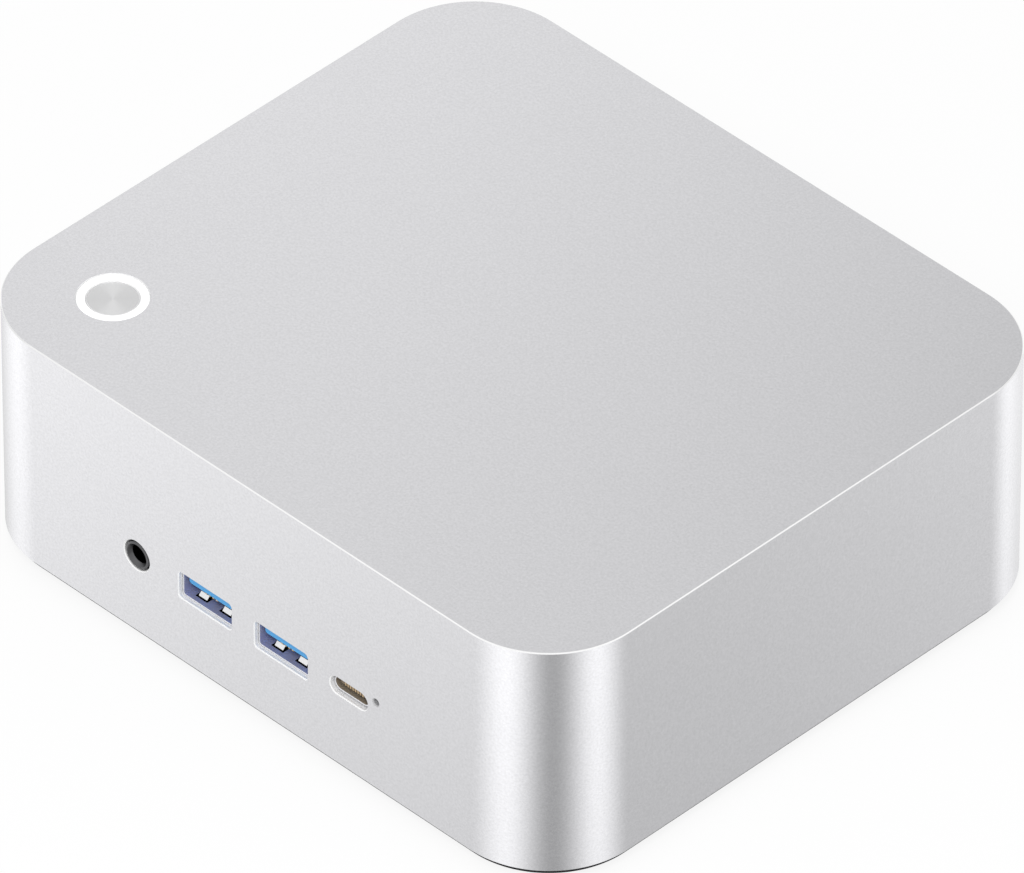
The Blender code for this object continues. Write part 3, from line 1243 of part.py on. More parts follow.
def make_blower(root):
    """Blower that blows through the fins: a scroll housing, its cover, and a rotor with swept blades."""
    axis = empty("fan_axis", (FAN_X, FAN_Y, 0.0), root)
    housing = piece("fan_housing", prism(scroll(FAN_WALL, FAN_OUTLET_Y), FAN_LOW, FAN_HOUSING_TOP),
                    "black_plastic", axis)
    cut(housing, prism(scroll(0.0, FAN_OUTLET_Y + OVERSHOOT), FAN_LOW + FAN_FLOOR, FAN_HOUSING_TOP + OVERSHOOT))
    windows = []
    for index in range(FAN_SPOKES):
        start = 2 * math.pi * index / FAN_SPOKES
        end = start + 2 * math.pi / FAN_SPOKES - math.radians(FAN_SPOKE_ANGLE)
        outline = arc(FAN_INLET_RADIUS, start, end, HOLE_STEPS // 2)
        outline += arc(FAN_INLET_ROOT_RADIUS, end, start, HOLE_STEPS // 2)
        windows.append(prism(outline, FAN_LOW - OVERSHOOT, FAN_LOW + FAN_FLOOR + OVERSHOOT))
    bearing = circle(FAN_SHAFT_RADIUS + SLIDE_GAP, HOLE_STEPS)
    windows.append(prism(bearing, FAN_LOW - OVERSHOOT, FAN_LOW + FAN_FLOOR + OVERSHOOT))
    cut(housing, *windows)

    cover = piece("fan_cover", prism(scroll(FAN_WALL, FAN_OUTLET_Y), FAN_COVER_LOW, FAN_TOP),
                  "fin_aluminium", axis)
    cut(cover, prism(circle(FAN_INLET_RADIUS, BUTTON_STEPS), FAN_COVER_LOW - OVERSHOOT, FAN_TOP + OVERSHOOT))

    low = FAN_LOW + FAN_FLOOR + FAN_END_PLAY
    high = FAN_COVER_LOW - SEAT_GAP - FAN_END_PLAY
    rotor = piece("fan_rotor", prism(blade_outline(), low + OVERLAP, high - FAN_HUB_CHAMFER - OVERLAP),
                  "black_plastic", axis)
    hub = turned([
        (FAN_SHAFT_RADIUS, FAN_LOW),
        (FAN_SHAFT_RADIUS, low),
        (FAN_HUB_RADIUS, low),
        (FAN_HUB_RADIUS, high - FAN_HUB_CHAMFER),
        (FAN_HUB_RADIUS - FAN_HUB_CHAMFER, high),
    ], BORE_STEPS)
    fuse(rotor, hub)


def make_memory(root):
    """Memory socket with two arms, and the module that lies between them with its edge in the slot."""
    half = MEMORY_WIDTH / 2 + SEAT_GAP
    outer = half + MEMORY_ARM_WIDTH
    bar_back = MEMORY_BAR_FRONT + MEMORY_SOCKET_BAR
    arm_back = bar_back + MEMORY_ARM_LENGTH
    outline = [(outer, MEMORY_BAR_FRONT), (outer, arm_back), (half, arm_back), (half, bar_back)]
    outline += [(-x, y) for x, y in reversed(outline)]
    outline = [(MEMORY_X + x, y) for x, y in outline]
    socket = piece("memory_socket", prism(outline, SOCKET_ROOF - MEMORY_SOCKET_HEIGHT, SOCKET_ROOF),
                   "black_plastic", root)
    slot_half = MEMORY_THICKNESS / 2 + SEAT_GAP
    cut(socket, block((MEMORY_X - half, MEMORY_FRONT - SEAT_GAP, MEMORY_LEVEL - slot_half),
                      (MEMORY_X + half, bar_back + OVERSHOOT, MEMORY_LEVEL + slot_half)))

    low = MEMORY_LEVEL - MEMORY_THICKNESS / 2
    high = MEMORY_LEVEL + MEMORY_THICKNESS / 2
    back = MEMORY_FRONT + MEMORY_DEPTH
    module = piece("memory_module", block((MEMORY_X - MEMORY_WIDTH / 2, MEMORY_FRONT, low),
                                          (MEMORY_X + MEMORY_WIDTH / 2, back, high)), "circuit_board", root)
    chips = []
    pitch = MEMORY_WIDTH / MEMORY_CHIPS
    chip_y = (bar_back + back) / 2
    for index in range(MEMORY_CHIPS):
        chip_x = MEMORY_X + (index - (MEMORY_CHIPS - 1) / 2) * pitch
        chips.append(block((chip_x - MEMORY_CHIP_WIDTH / 2, chip_y - MEMORY_CHIP_DEPTH / 2,
                            low - MEMORY_CHIP_HEIGHT),
                           (chip_x + MEMORY_CHIP_WIDTH / 2, chip_y + MEMORY_CHIP_DEPTH / 2,
                            low + MEMORY_THICKNESS / 2)))
    fuse(module, *chips)
    key_x = MEMORY_X + MEMORY_KEY_X
    cut(module, block((key_x - MEMORY_KEY_WIDTH / 2, MEMORY_FRONT - OVERSHOOT, low - OVERSHOOT),
                      (key_x + MEMORY_KEY_WIDTH / 2, MEMORY_FRONT + MEMORY_ENGAGED, high + OVERSHOOT)))


def make_drive(root):
    """Drive along the board's underside: its socket at one end, its post and screw at the other."""
    low = DRIVE_LEVEL - DRIVE_THICKNESS / 2
    high = DRIVE_LEVEL + DRIVE_THICKNESS / 2
    right = DRIVE_LEFT + DRIVE_LENGTH
    drive = piece("drive", block((DRIVE_LEFT, DRIVE_Y - DRIVE_WIDTH / 2, low),
                                 (right, DRIVE_Y + DRIVE_WIDTH / 2, high)), "circuit_board", root)
    chips = []
    pitch = (DRIVE_LENGTH - DRIVE_SOCKET_LENGTH) / DRIVE_CHIPS
    for index in range(DRIVE_CHIPS):
        x = DRIVE_LEFT + DRIVE_SOCKET_LENGTH / 2 + (index + 0.5) * pitch
        chips.append(block((x - DRIVE_CHIP_SIDE / 2, DRIVE_Y - DRIVE_CHIP_SIDE / 2, low - DRIVE_CHIP_HEIGHT),
                           (x + DRIVE_CHIP_SIDE / 2, DRIVE_Y + DRIVE_CHIP_SIDE / 2, DRIVE_LEVEL)))
    fuse(drive, *chips)
    post = drive_post_place()
    cut(drive, prism(circle(DRIVE_NOTCH_RADIUS, HOLE_STEPS, post), low - OVERSHOOT, high + OVERSHOOT))

    socket_left = right - DRIVE_ENGAGED
    socket_right = socket_left + DRIVE_SOCKET_LENGTH
    half = DRIVE_WIDTH / 2 + SEAT_GAP
    socket = piece("drive_socket",
                   block((socket_left, DRIVE_Y - half - MEMORY_ARM_WIDTH, SOCKET_ROOF - DRIVE_SOCKET_HEIGHT),
                         (socket_right, DRIVE_Y + half + MEMORY_ARM_WIDTH, SOCKET_ROOF)),
                   "black_plastic", root)
    cut(socket, block((socket_left - OVERSHOOT, DRIVE_Y - half, low - SEAT_GAP),
                      (right + SEAT_GAP, DRIVE_Y + half, high + SEAT_GAP)))

    length = BOARD_LOW - low
    fixing = screw(DRIVE_POST_RADIUS, HOLDER_SCREW_HEAD_HEIGHT, HOLDER_SCREW_RADIUS, length)
    piece("drive_screw", fixing, "screw_steel", root, (post[0], post[1], low - SEAT_GAP))


def make_radio(root):
    """Shielded radio module beside the memory, and two antenna strips on the base cover."""
    x = MEMORY_X + MEMORY_WIDTH / 2 + MEMORY_ARM_WIDTH + 2 * PART_GAP + RADIO_WIDTH / 2
    y = MEMORY_BAR_FRONT + MEMORY_SOCKET_BAR + RADIO_DEPTH / 2
    can = rounded_rectangle(RADIO_WIDTH, RADIO_DEPTH, 2 * SEAT_GAP, MOUTH_STEPS, (x, y))
    piece("radio_module", prism(can, SOCKET_ROOF - RADIO_HEIGHT, SOCKET_ROOF), "socket_steel", root)
    low = COVER_TOP + SEAT_GAP
    for name, sign in (("antenna_left", -1), ("antenna_right", 1)):
        place = (sign * (INNER_WIDTH / 2 - ANTENNA_INSET), 0.0)
        strip = rounded_rectangle(ANTENNA_WIDTH, ANTENNA_LENGTH, 2 * SEAT_GAP, MOUTH_STEPS, place)
        piece(name, prism(strip, low, low + ANTENNA_THICKNESS), "antenna_film", root)


def make_coin_cell(root):
    """Clock cell on the board, near its front right corner."""
    place = (BOARD_WIDTH / 2 - CELL_SIDE_INSET, -BOARD_DEPTH / 2 + CELL_FRONT_INSET)
    low = BOARD_HIGH + SEAT_GAP
    cell = turned([
        (CELL_RADIUS - CELL_RIM, low),
        (CELL_RADIUS, low + CELL_RIM),
        (CELL_RADIUS, low + CELL_HEIGHT),
    ], BORE_STEPS, place)
    piece("coin_cell", cell, "screw_steel", root)


def main():
    """Builds every piece under one empty."""
    for leftover in list(bpy.data.objects):
        bpy.data.objects.remove(leftover, do_unlink=True)
    root = empty("mini_pc")
    make_top_housing(root)
    make_bottom_cover(root)
    make_feet(root)
    make_screws(root)
    make_power_button(root)
    make_rear_panel(root)
    make_front_sockets(root)
    make_rear_sockets(root)
    make_motherboard(root)
    make_processor(root)
    make_heat_pipes(root)
    make_fin_stack(root)
    make_blower(root)
    make_memory(root)
    make_drive(root)
    make_radio(root)
    make_coin_cell(root)


main()
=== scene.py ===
"""Looks of the mini PC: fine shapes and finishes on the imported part, and the studio round it.

Metres, +Z up, the socketed front faces -Y, the case stands on the floor at Z = 0.
"""

import json
import logging
import math
from dataclasses import dataclass, field
from enum import Enum
from typing import Callable, Optional, Sequence, Union

import bmesh
import bpy
from mathutils import Matrix, Vector


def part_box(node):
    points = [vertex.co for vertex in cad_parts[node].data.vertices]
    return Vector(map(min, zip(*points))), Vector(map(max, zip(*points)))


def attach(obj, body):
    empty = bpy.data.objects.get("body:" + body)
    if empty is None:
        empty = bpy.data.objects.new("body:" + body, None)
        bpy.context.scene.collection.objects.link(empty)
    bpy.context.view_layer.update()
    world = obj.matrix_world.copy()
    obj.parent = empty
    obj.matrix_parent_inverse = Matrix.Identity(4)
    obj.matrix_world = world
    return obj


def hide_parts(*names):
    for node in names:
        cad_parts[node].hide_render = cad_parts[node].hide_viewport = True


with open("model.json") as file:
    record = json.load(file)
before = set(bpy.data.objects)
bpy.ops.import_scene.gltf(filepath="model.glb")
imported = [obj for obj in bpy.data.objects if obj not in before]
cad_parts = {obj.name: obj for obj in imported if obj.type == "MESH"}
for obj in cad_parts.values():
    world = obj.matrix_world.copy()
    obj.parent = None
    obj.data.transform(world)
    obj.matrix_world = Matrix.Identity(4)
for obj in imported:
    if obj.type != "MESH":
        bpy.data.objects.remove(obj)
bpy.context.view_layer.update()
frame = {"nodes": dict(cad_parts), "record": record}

logging.basicConfig(level=logging.INFO, format="%(message)s")
LOG = logging.getLogger("mini_pc")

Point2 = tuple[float, float]
Point3 = tuple[float, float, float]
Outline = list[Point2]
Colour = tuple[float, float, float]

SMOOTH_ANGLE = math.radians(32.0)
GROOVE_ANGLE = math.radians(6.0)
PAST = 0.0010

# Numbers of a piece's further finishes
SECOND = 1
THIRD = 2
FOURTH = 3

# Case
CORNER_RADIUS = 0.0198
CORNER_STEPS = 40
WALL = 0.0016
LID = 0.0020
EDGE_CHAMFER = 0.00021
LOWER_CHAMFER = 0.00015
EDGE_SLOPES = (0.3, 0.95)
MOUTH_CHAMFER = 0.0002
MOUTH_STEPS = 8

# Base cover, feet and screws
COVER_INSET = 0.0010
COVER_EDGE = 0.0003
BASE_EDGE = 0.00008
COVER_FLOOR = 0.0020
COVER_SEAM = 0.0003
LIP_THICKNESS = 0.0012
INTAKE_WIDTH = 0.0030
INTAKE_LENGTH = 0.0280
INTAKE_PITCH = 0.0066
INTAKE_COUNT = 13
INTAKE_OFFSET = 0.0170
FOOT_SEAT_GAP = 0.0003
FOOT_SEAT = 0.0006
FOOT_EDGE = 0.0007
SCREW_WELL_RADIUS = 0.0028
SCREW_WELL_DEPTH = 0.0016
SCREW_RECESS_RADIUS = 0.0011
SCREW_RECESS_DEPTH = 0.0007
SCREW_LOBES = 6
SCREW_LOBE_DEPTH = 0.16
SCREW_RADIUS = 0.00125
SCREW_HEAD_HEIGHT = 0.0013
SCREW_EDGE = 0.0003
POST_RADIUS = 0.0034
STANDOFF_RADIUS = 0.0028
BOSS_RADIUS = 0.0023
HOLDER_SCREW_RADIUS = 0.0008
BORE_GAP = 0.00015
BORE_DEPTH = 0.0080

# Power button
RING_RADIUS = 0.0066
RING_FLANGE = 0.0010
RING_HOLE_GAP = 0.00015
RING_LIP = 0.00012
GROOVE_PITCH = 0.00012
GROOVE_DEPTH = 0.000013
CAP_RADIUS = 0.00485
CAP_FLANGE_RADIUS = 0.00615
CAP_FLANGE = 0.0010
CAP_EDGE = 0.00015
STEM_RADIUS = 0.0015
STEM_LENGTH = 0.0007
BUTTON_STEPS = 128

# Sockets
TYPE_A_WIDTH = 0.0125
TYPE_A_HEIGHT = 0.00512
TYPE_A_RADIUS = 0.0004
TYPE_A_SHELL = 0.0003
TYPE_A_MOUTH = (0.01335, 0.00585, 0.0007)
TYPE_A_BACK = 0.0008
TYPE_A_COLLAR = 0.0030
TYPE_A_TONGUE_SETBACK = 0.0006
TYPE_A_TONGUE_LENGTH = 0.0088
TYPE_A_TONGUE_GAP = 0.0006
TYPE_A_TONGUE_THICKNESS = 0.00184
TONGUE_CORNER = 0.0007
TONGUE_EDGE = 0.00015
FINGER_OFFSETS = (-0.00135, -0.00045, 0.00045, 0.00135)
FINGER_WIDTH = 0.00042
FINGER_DROP = 0.00060
FINGER_FRONT = 0.00015
FINGER_REACH = 0.0004
SPRING_OFFSET = 0.0030
SPRING_WIDTH = 0.0021
WINDOW_MARGIN = 0.00045
SPRING_FRONT = 0.0011
SPRING_BACK = 0.0060
SPRING_RISE = 0.00070
SPRING_FLAT = 0.0005
SPRING_THICKNESS = 0.00015
SPRING_CREST = 0.0022
TYPE_C_WIDTH = 0.00834
TYPE_C_HEIGHT = 0.00256
TYPE_C_SHELL = 0.0003
TYPE_C_MOUTH = (0.0094, 0.00377, 0.00178)
TYPE_C_BACK = 0.0006
TYPE_C_COLLAR = 0.0020
TYPE_C_TONGUE_SETBACK = 0.0006
TYPE_C_TONGUE_LENGTH = 0.0048
TYPE_C_TONGUE_THICKNESS = 0.0007
TYPE_C_TONGUE_CORNER = 0.00015
TYPE_C_CONTACTS = 8
TYPE_C_CONTACT_WIDTH = 0.00028
TYPE_C_CONTACT_PITCH = 0.00062
CONTACT_RISE = 0.00006
BLOCK_CORNER = 0.0003
RIM_ROUND = 0.00008
AUDIO_MOUTH_RADIUS = 0.0032
AUDIO_NOSE_RADIUS = 0.0029
AUDIO_BORE_RADIUS = 0.0019
AUDIO_BORE_DEPTH = 0.0100
COLLAR_CHAMFER = 0.00045
COLLAR_DEPTH = 0.00080
COLLAR_ROUND = 0.0004
COLLAR_EDGE = 0.0001
RESET_RADIUS = 0.0007
ROUND_STEPS = 48
NETWORK_MOUTH = (0.0148, 0.0122, 0.0004)
NETWORK_PLUG = (0.0119, 0.0070)
NETWORK_LATCH = (0.0064, 0.0016)
NETWORK_ROOF = 0.0022
NETWORK_DEPTH = 0.0130
NETWORK_CONTACTS = 8
NETWORK_CONTACT_PITCH = 0.00102
NETWORK_CONTACT_WIDTH = 0.0004
NETWORK_CONTACT_LINE = ((0.0030, -0.0004), (0.0090, -0.0032), (0.0092, -0.0029), (0.0032, 0.0))
VIDEO_WIDTH = 0.0140
VIDEO_HEIGHT = 0.00455
VIDEO_CUT = 0.0017
VIDEO_SHELL = 0.0004
VIDEO_SADDLE = 0.0008
VIDEO_MARGIN = 0.0003
VIDEO_BACK = 0.0008
VIDEO_COLLAR = 0.0025
VIDEO_TONGUE_SETBACK = 0.0010
VIDEO_TONGUE_ROOT = 0.0080
VIDEO_TONGUE_THICKNESS = 0.0010
VIDEO_TONGUE_CORNER = 0.0002
INLET_BORE_RADIUS = 0.0032
INLET_PIN_RADIUS = 0.0011
INLET_DEPTH = 0.0095
INLET_SETBACK = 0.0006

# Rear panel
PANEL_THICKNESS = 0.0012
PANEL_FLANGE = 0.0020
PANEL_FLANGE_THICKNESS = 0.0010
PANEL_RIM = 0.0012
PANEL_RADIUS = 0.0030
PANEL_GAP = 0.0003
PANEL_EDGE = 0.0002
EXHAUST_WIDTH = 0.0026
EXHAUST_PITCH = 0.0046
EXHAUST_COUNT = 22
EXHAUST_LOW = 0.0025
EXHAUST_HIGH = 0.0032

# Studio
CAMERA_PLACE = (1.89987, -1.89774, 2.27826)
CAMERA_AZIMUTH = 45.0297
CAMERA_ELEVATION = 39.9756
CAMERA_ROLL = -0.0317
CAMERA_LENS = 687.70
CAMERA_SENSOR = 36.0
CAMERA_REACH = 20.0
STAGE_REACH = 6.0
FLOOR_DROP = 0.00005
LOWER_CARD_DROP = 0.25
UPPER_CARD_RISE = 0.45
KEY_PLACE = (0.62, -0.78, 1.15)


class Axis(Enum):
    """Axis that a turned shape is made about."""

    UP = "z"
    INWARD = "y"


class Side(Enum):
    """Wall that a socket looks out of, with the way inwards along Y."""

    FRONT = 1
    REAR = -1


class Weave(Enum):
    """Kind of texture that a finish has."""

    SPECKLE = "speckle"
    BRUSHED = "brushed"
    TRACKS = "tracks"


@dataclass(frozen=True)
class Finish:
    """Look of one surface: its colour and sheen, and the size and strength of its texture."""

    slot: str
    colour: Colour
    roughness: float
    metallic: float
    grain: float
    colour_spread: float
    roughness_spread: float
    relief: float
    weave: Weave = Weave.SPECKLE
    glow: float = 0.0
    second: Colour = (0.0, 0.0, 0.0)
    shine: float = 0.5


BLASTED = Finish("silver_aluminium", (0.80, 0.799, 0.819), 0.24, 1.0, 0.00045, 0.11, 0.05, 0.0000030)
MACHINED = Finish("silver_aluminium", (0.93, 0.93, 0.935), 0.45, 0.35, 0.00040, 0.04, 0.05, 0.0000010)
POLISHED = Finish("silver_aluminium", (0.97, 0.97, 0.97), 0.16, 1.0, 0.00060, 0.02, 0.03, 0.0000005)
# Painted shade: darker grey aluminium for the reset hole's wall, standing in for the shade in the hole.
PINHOLE_SHADE = Finish("silver_aluminium", (0.50, 0.50, 0.51), 0.50, 0.35, 0.00040, 0.06, 0.05, 0.0000010)
SPUN = Finish("spun_metal", (0.86, 0.86, 0.865), 0.20, 1.0, 0.00040, 0.03, 0.03, 0.0000005)
LIT = Finish("lit_diffuser", (0.92, 0.92, 0.92), 0.45, 0.0, 0.00200, 0.02, 0.05, 0.0000010, glow=0.25)
BLACK = Finish("black_plastic", (0.016, 0.016, 0.018), 0.55, 0.0, 0.00040, 0.15, 0.10, 0.0000080,
               shine=0.15)
RUBBER = Finish("black_rubber", (0.012, 0.012, 0.012), 0.85, 0.0, 0.00060, 0.20, 0.10, 0.0000080,
                shine=0.15)
SCREW = Finish("screw_steel", (0.30, 0.30, 0.31), 0.35, 1.0, 0.00030, 0.10, 0.10, 0.0000020)
STEEL = Finish("socket_steel", (0.80, 0.80, 0.83), 0.28, 0.6, 0.00050, 0.06, 0.08, 0.0000010)
# Steel of the type-A cavities, darker and blue: painted shade and a painted reflection of the blue tongue.
BLUE_REFLECTION_SHADE = Finish("socket_steel", (0.47, 0.49, 0.72), 0.32, 0.55, 0.00030, 0.10, 0.08, 0.0000010)
# Steel of the type-C cavities, darker and brown: painted shade and a painted reflection of the brown tongue.
BROWN_REFLECTION_SHADE = Finish("socket_steel", (0.42, 0.36, 0.28), 0.40, 0.5, 0.00025, 0.35, 0.10, 0.0000020)
# Painted shade: near-black put on the jack's bore and on the spring windows' walls in place of the shade in
# them.
SHADE_BLACK = Finish("dark_collar", (0.002, 0.002, 0.002), 0.90, 1.0, 0.00040, 0.20, 0.04, 0.0000010)
SPRING = Finish("socket_steel", (0.96, 0.96, 0.97), 0.25, 1.0, 0.00050, 0.04, 0.08, 0.0000010)
BLUE = Finish("blue_tongue", (0.060, 0.360, 0.740), 0.40, 0.0, 0.00040, 0.05, 0.08, 0.0000020)
DARK = Finish("black_tongue", (0.030, 0.030, 0.030), 0.45, 0.0, 0.00040, 0.10, 0.08, 0.0000020)
COLLAR = Finish("dark_collar", (0.13, 0.13, 0.135), 0.32, 1.0, 0.00030, 0.06, 0.08, 0.0000010)
BROWN = Finish("black_tongue", (0.200, 0.150, 0.100), 0.45, 0.0, 0.00030, 0.20, 0.08, 0.0000020)
GOLD = Finish("socket_steel", (0.60, 0.45, 0.27), 0.35, 1.0, 0.00030, 0.06, 0.08, 0.0000010)
BOARD = Finish("circuit_board", (0.008, 0.026, 0.018), 0.45, 0.0, 0.00250, 0.10, 0.08, 0.0000150,
               Weave.TRACKS, second=(0.020, 0.060, 0.040))
CHIP = Finish("chip_package", (0.030, 0.030, 0.035), 0.40, 0.0, 0.00050, 0.12, 0.08, 0.0000040)
COPPER = Finish("copper", (0.72, 0.35, 0.20), 0.35, 1.0, 0.00050, 0.08, 0.10, 0.0000020, Weave.BRUSHED)
SHEET = Finish("fin_aluminium", (0.60, 0.60, 0.61), 0.40, 1.0, 0.00050, 0.06, 0.10, 0.0000020,
               Weave.BRUSHED)
FILM = Finish("antenna_film", (0.050, 0.050, 0.050), 0.50, 0.0, 0.00100, 0.12, 0.10, 0.0000020)
CARRIED = (BLASTED, SPUN, LIT, BLACK, RUBBER, SCREW, STEEL, BLUE, DARK, COLLAR, BOARD, CHIP, COPPER, SHEET,
           FILM)


class Signal:
    """Output of a shader node, with arithmetic that adds nodes to its graph."""

    def __init__(self, graph: "Graph", socket: bpy.types.NodeSocket) -> None:
        self.graph = graph
        self.socket = socket

    def _math(self, operation: str, *values: "Level") -> "Signal":
        """Adds a Math node.

        Args:
            operation: The node's operation.
            values: Its inputs in order.

        Returns:
            The node's value.
        """
        return self.graph.add("ShaderNodeMath", {"operation": operation}, dict(enumerate(values)))

    def __add__(self, other: "Level") -> "Signal":
        """This plus other."""
        return self._math("ADD", self, other)

    def __radd__(self, other: "Level") -> "Signal":
        """Other plus this."""
        return self._math("ADD", other, self)

    def __sub__(self, other: "Level") -> "Signal":
        """This minus other."""
        return self._math("SUBTRACT", self, other)

    def __rsub__(self, other: "Level") -> "Signal":
        """Other minus this."""
        return self._math("SUBTRACT", other, self)

    def __mul__(self, other: "Level") -> "Signal":
        """This times other."""
        return self._math("MULTIPLY", self, other)

    def __rmul__(self, other: "Level") -> "Signal":
        """Other times this."""
        return self._math("MULTIPLY", other, self)

    def smallest(self, other: "Level") -> "Signal":
        """The smaller of this and other."""
        return self._math("MINIMUM", self, other)

    def largest(self, other: "Level") -> "Signal":
        """The larger of this and other."""
        return self._math("MAXIMUM", self, other)

    def angle(self, other: "Level") -> "Signal":
        """Angle in radians of the point whose sine part is this and cosine part is other."""
        return self._math("ARCTAN2", self, other)


Level = Union[Signal, float]


class Graph:
    """Node tree of a material or of the world."""

    def __init__(self, tree: bpy.types.NodeTree) -> None:
        self.tree = tree
        tree.nodes.clear()

    def add(self, kind: str, settings: Optional[dict] = None, inputs: Optional[dict] = None,
            output: Union[int, str] = 0) -> Signal:
        """Adds any node.

        Args:
            kind: The node's type.
            settings: Its properties, set first.
            inputs: Values or signals for its sockets, by name or number.
            output: The output to return, by name or number.

        Returns:
            That output.
        """
        node = self.tree.nodes.new(kind)
        for name, value in (settings or {}).items():
            setattr(node, name, value)
        for key, value in (inputs or {}).items():
            if isinstance(value, Signal):
                self.tree.links.new(value.socket, node.inputs[key])
            else:
                node.inputs[key].default_value = value
        if not node.outputs:
            return Signal(self, node.inputs[0])
        return Signal(self, node.outputs[output])

    def blend(self, factor: Level, low: Union[Signal, Colour], high: Union[Signal, Colour]) -> Signal:
        """Mixes two colours.

        Args:
            factor: Share of the second colour.
            low: First colour.
            high: Second colour.

        Returns:
            The mixed colour.
        """
        low_value = low if isinstance(low, Signal) else (*low, 1.0)
        high_value = high if isinstance(high, Signal) else (*high, 1.0)
        return self.add("ShaderNodeMix", {"data_type": "RGBA"},
                        {"Factor": factor, 6: low_value, 7: high_value}, 2)

    def place(self) -> Signal:
        """Position on the object, in metres."""
        return self.add("ShaderNodeTexCoord", output="Object")

    def noise(self, place: Signal, size: float, detail: float = 2.0) -> Signal:
        """Cloudy pattern of one grain size, from 0 to 1."""
        inputs = {"Vector": place, "Scale": 1.0 / size, "Detail": detail}
        return self.add("ShaderNodeTexNoise", None, inputs)

    def ramp(self, value: Signal, stops: Sequence[Point2]) -> Signal:
        """Grey level that follows a value smoothly through stops.

        Args:
            value: The value, from 0 to 1.
            stops: Pairs of value and level, in order.

        Returns:
            The level.
        """
        signal = self.add("ShaderNodeValToRGB", None, {"Fac": value})
        ramp = signal.socket.node.color_ramp
        ramp.interpolation = "EASE"
        ramp.elements.remove(ramp.elements[1])
        ramp.elements[0].position = stops[0][0]
        ramp.elements[0].color = (stops[0][1],) * 3 + (1.0,)
        for position, level in stops[1:]:
            ramp.elements.new(position).color = (level,) * 3 + (1.0,)
        return signal

    def stretched(self, place: Signal, amount: Point3) -> Signal:
        """Position scaled along each axis."""
        return self.add("ShaderNodeVectorMath", {"operation": "MULTIPLY"}, {0: place, 1: amount})


class Paint:
    """Makes each finish into a material, once."""

    made: dict[Finish, bpy.types.Material] = {}
    patch = 0.012
    brush = (0.05, 1.0, 1.0)
    bump_strength = 1.0
    track_gap = 0.04

    @classmethod
    def material(cls, finish: Finish) -> bpy.types.Material:
        """Gives a finish's material.

        Args:
            finish: The look.

        Returns:
            Its procedural material.
        """
        if finish not in cls.made:
            cls.made[finish] = cls._make(finish)
        return cls.made[finish]

    @classmethod
    def _make(cls, finish: Finish) -> bpy.types.Material:
        """Wires a finish's shader.

        Args:
            finish: The look.

        Returns:
            A new material.
        """
        material = bpy.data.materials.new(f"{finish.slot}_{len(cls.made)}")
        material.use_nodes = True
        graph = Graph(material.node_tree)
        place = graph.place()
        if finish.weave is Weave.BRUSHED:
            place = graph.stretched(place, cls.brush)
        grain = graph.noise(place, finish.grain)
        patch = graph.noise(place, cls.patch)
        dark = tuple(part * (1.0 - finish.colour_spread) for part in finish.colour)
        pale = tuple(min(1.0, part * (1.0 + finish.colour_spread)) for part in finish.colour)
        colour = graph.blend(grain, dark, pale)
        if finish.weave is Weave.TRACKS:
            bricks = {"Vector": place, "Scale": 1.0 / finish.grain, "Mortar Size": cls.track_gap}
            tracks = graph.add("ShaderNodeTexBrick", None, bricks, "Fac")
            colour = graph.blend(tracks, colour, finish.second)
        inputs = {
            "Base Color": colour,
            "Roughness": finish.roughness + (patch - 0.5) * finish.roughness_spread,
            "Metallic": finish.metallic,
            "Specular IOR Level": finish.shine,
            "Normal": graph.add("ShaderNodeBump", None, {"Strength": cls.bump_strength,
                                                         "Distance": finish.relief, "Height": grain}),
        }
        if finish.glow:
            inputs["Emission Color"] = colour
            inputs["Emission Strength"] = finish.glow
        surface = graph.add("ShaderNodeBsdfPrincipled", None, inputs)
        graph.add("ShaderNodeOutputMaterial", None, {"Surface": surface})
        return material


def arc(radius: float, start: float, end: float, steps: int, centre: Point2 = (0.0, 0.0)) -> Outline:
    """Points along an arc with both ends.

    Args:
        radius: Its radius.
        start: First angle, in radians.
        end: Last angle.
        steps: Number of facets.
        centre: Its centre.

    Returns:
        The points in order.
    """
    points = []
    for step in range(steps + 1):
        angle = start + (end - start) * step / steps
        points.append((centre[0] + radius * math.cos(angle), centre[1] + radius * math.sin(angle)))
    return points


def circle(radius: float, steps: int, centre: Point2 = (0.0, 0.0)) -> Outline:
    """Anticlockwise ring of points."""
    return arc(radius, 0.0, 2.0 * math.pi, steps, centre)[:-1]


def rounded(width: float, height: float, radius: float, steps: int, centre: Point2 = (0.0, 0.0)) -> Outline:
    """Anticlockwise rectangle with round corners.

    Args:
        width: Size along the first axis.
        height: Size along the second axis.
        radius: Corner radius.
        steps: Facets of each corner.
        centre: Its middle.

    Returns:
        The outline.
    """
    points = []
    for quarter, (a, b) in enumerate(((1, 1), (-1, 1), (-1, -1), (1, -1))):
        middle = (centre[0] + a * (width / 2 - radius), centre[1] + b * (height / 2 - radius))
        start = quarter * math.pi / 2
        points += arc(radius, start, start + math.pi / 2, steps, middle)
    return points


def flat(outline: Outline, height: float) -> list[Point3]:
    """Outline laid level at a height."""
    return [(x, y, height) for x, y in outline]


def upright(outline: Outline, depth: float) -> list[Point3]:
    """Outline of X and Z stood up at a depth."""
    return [(x, depth, z) for x, z in outline]


def sideways(outline: Outline, across: float) -> list[Point3]:
    """Outline of Y and Z stood up across X."""
    return [(across, y, z) for y, z in outline]


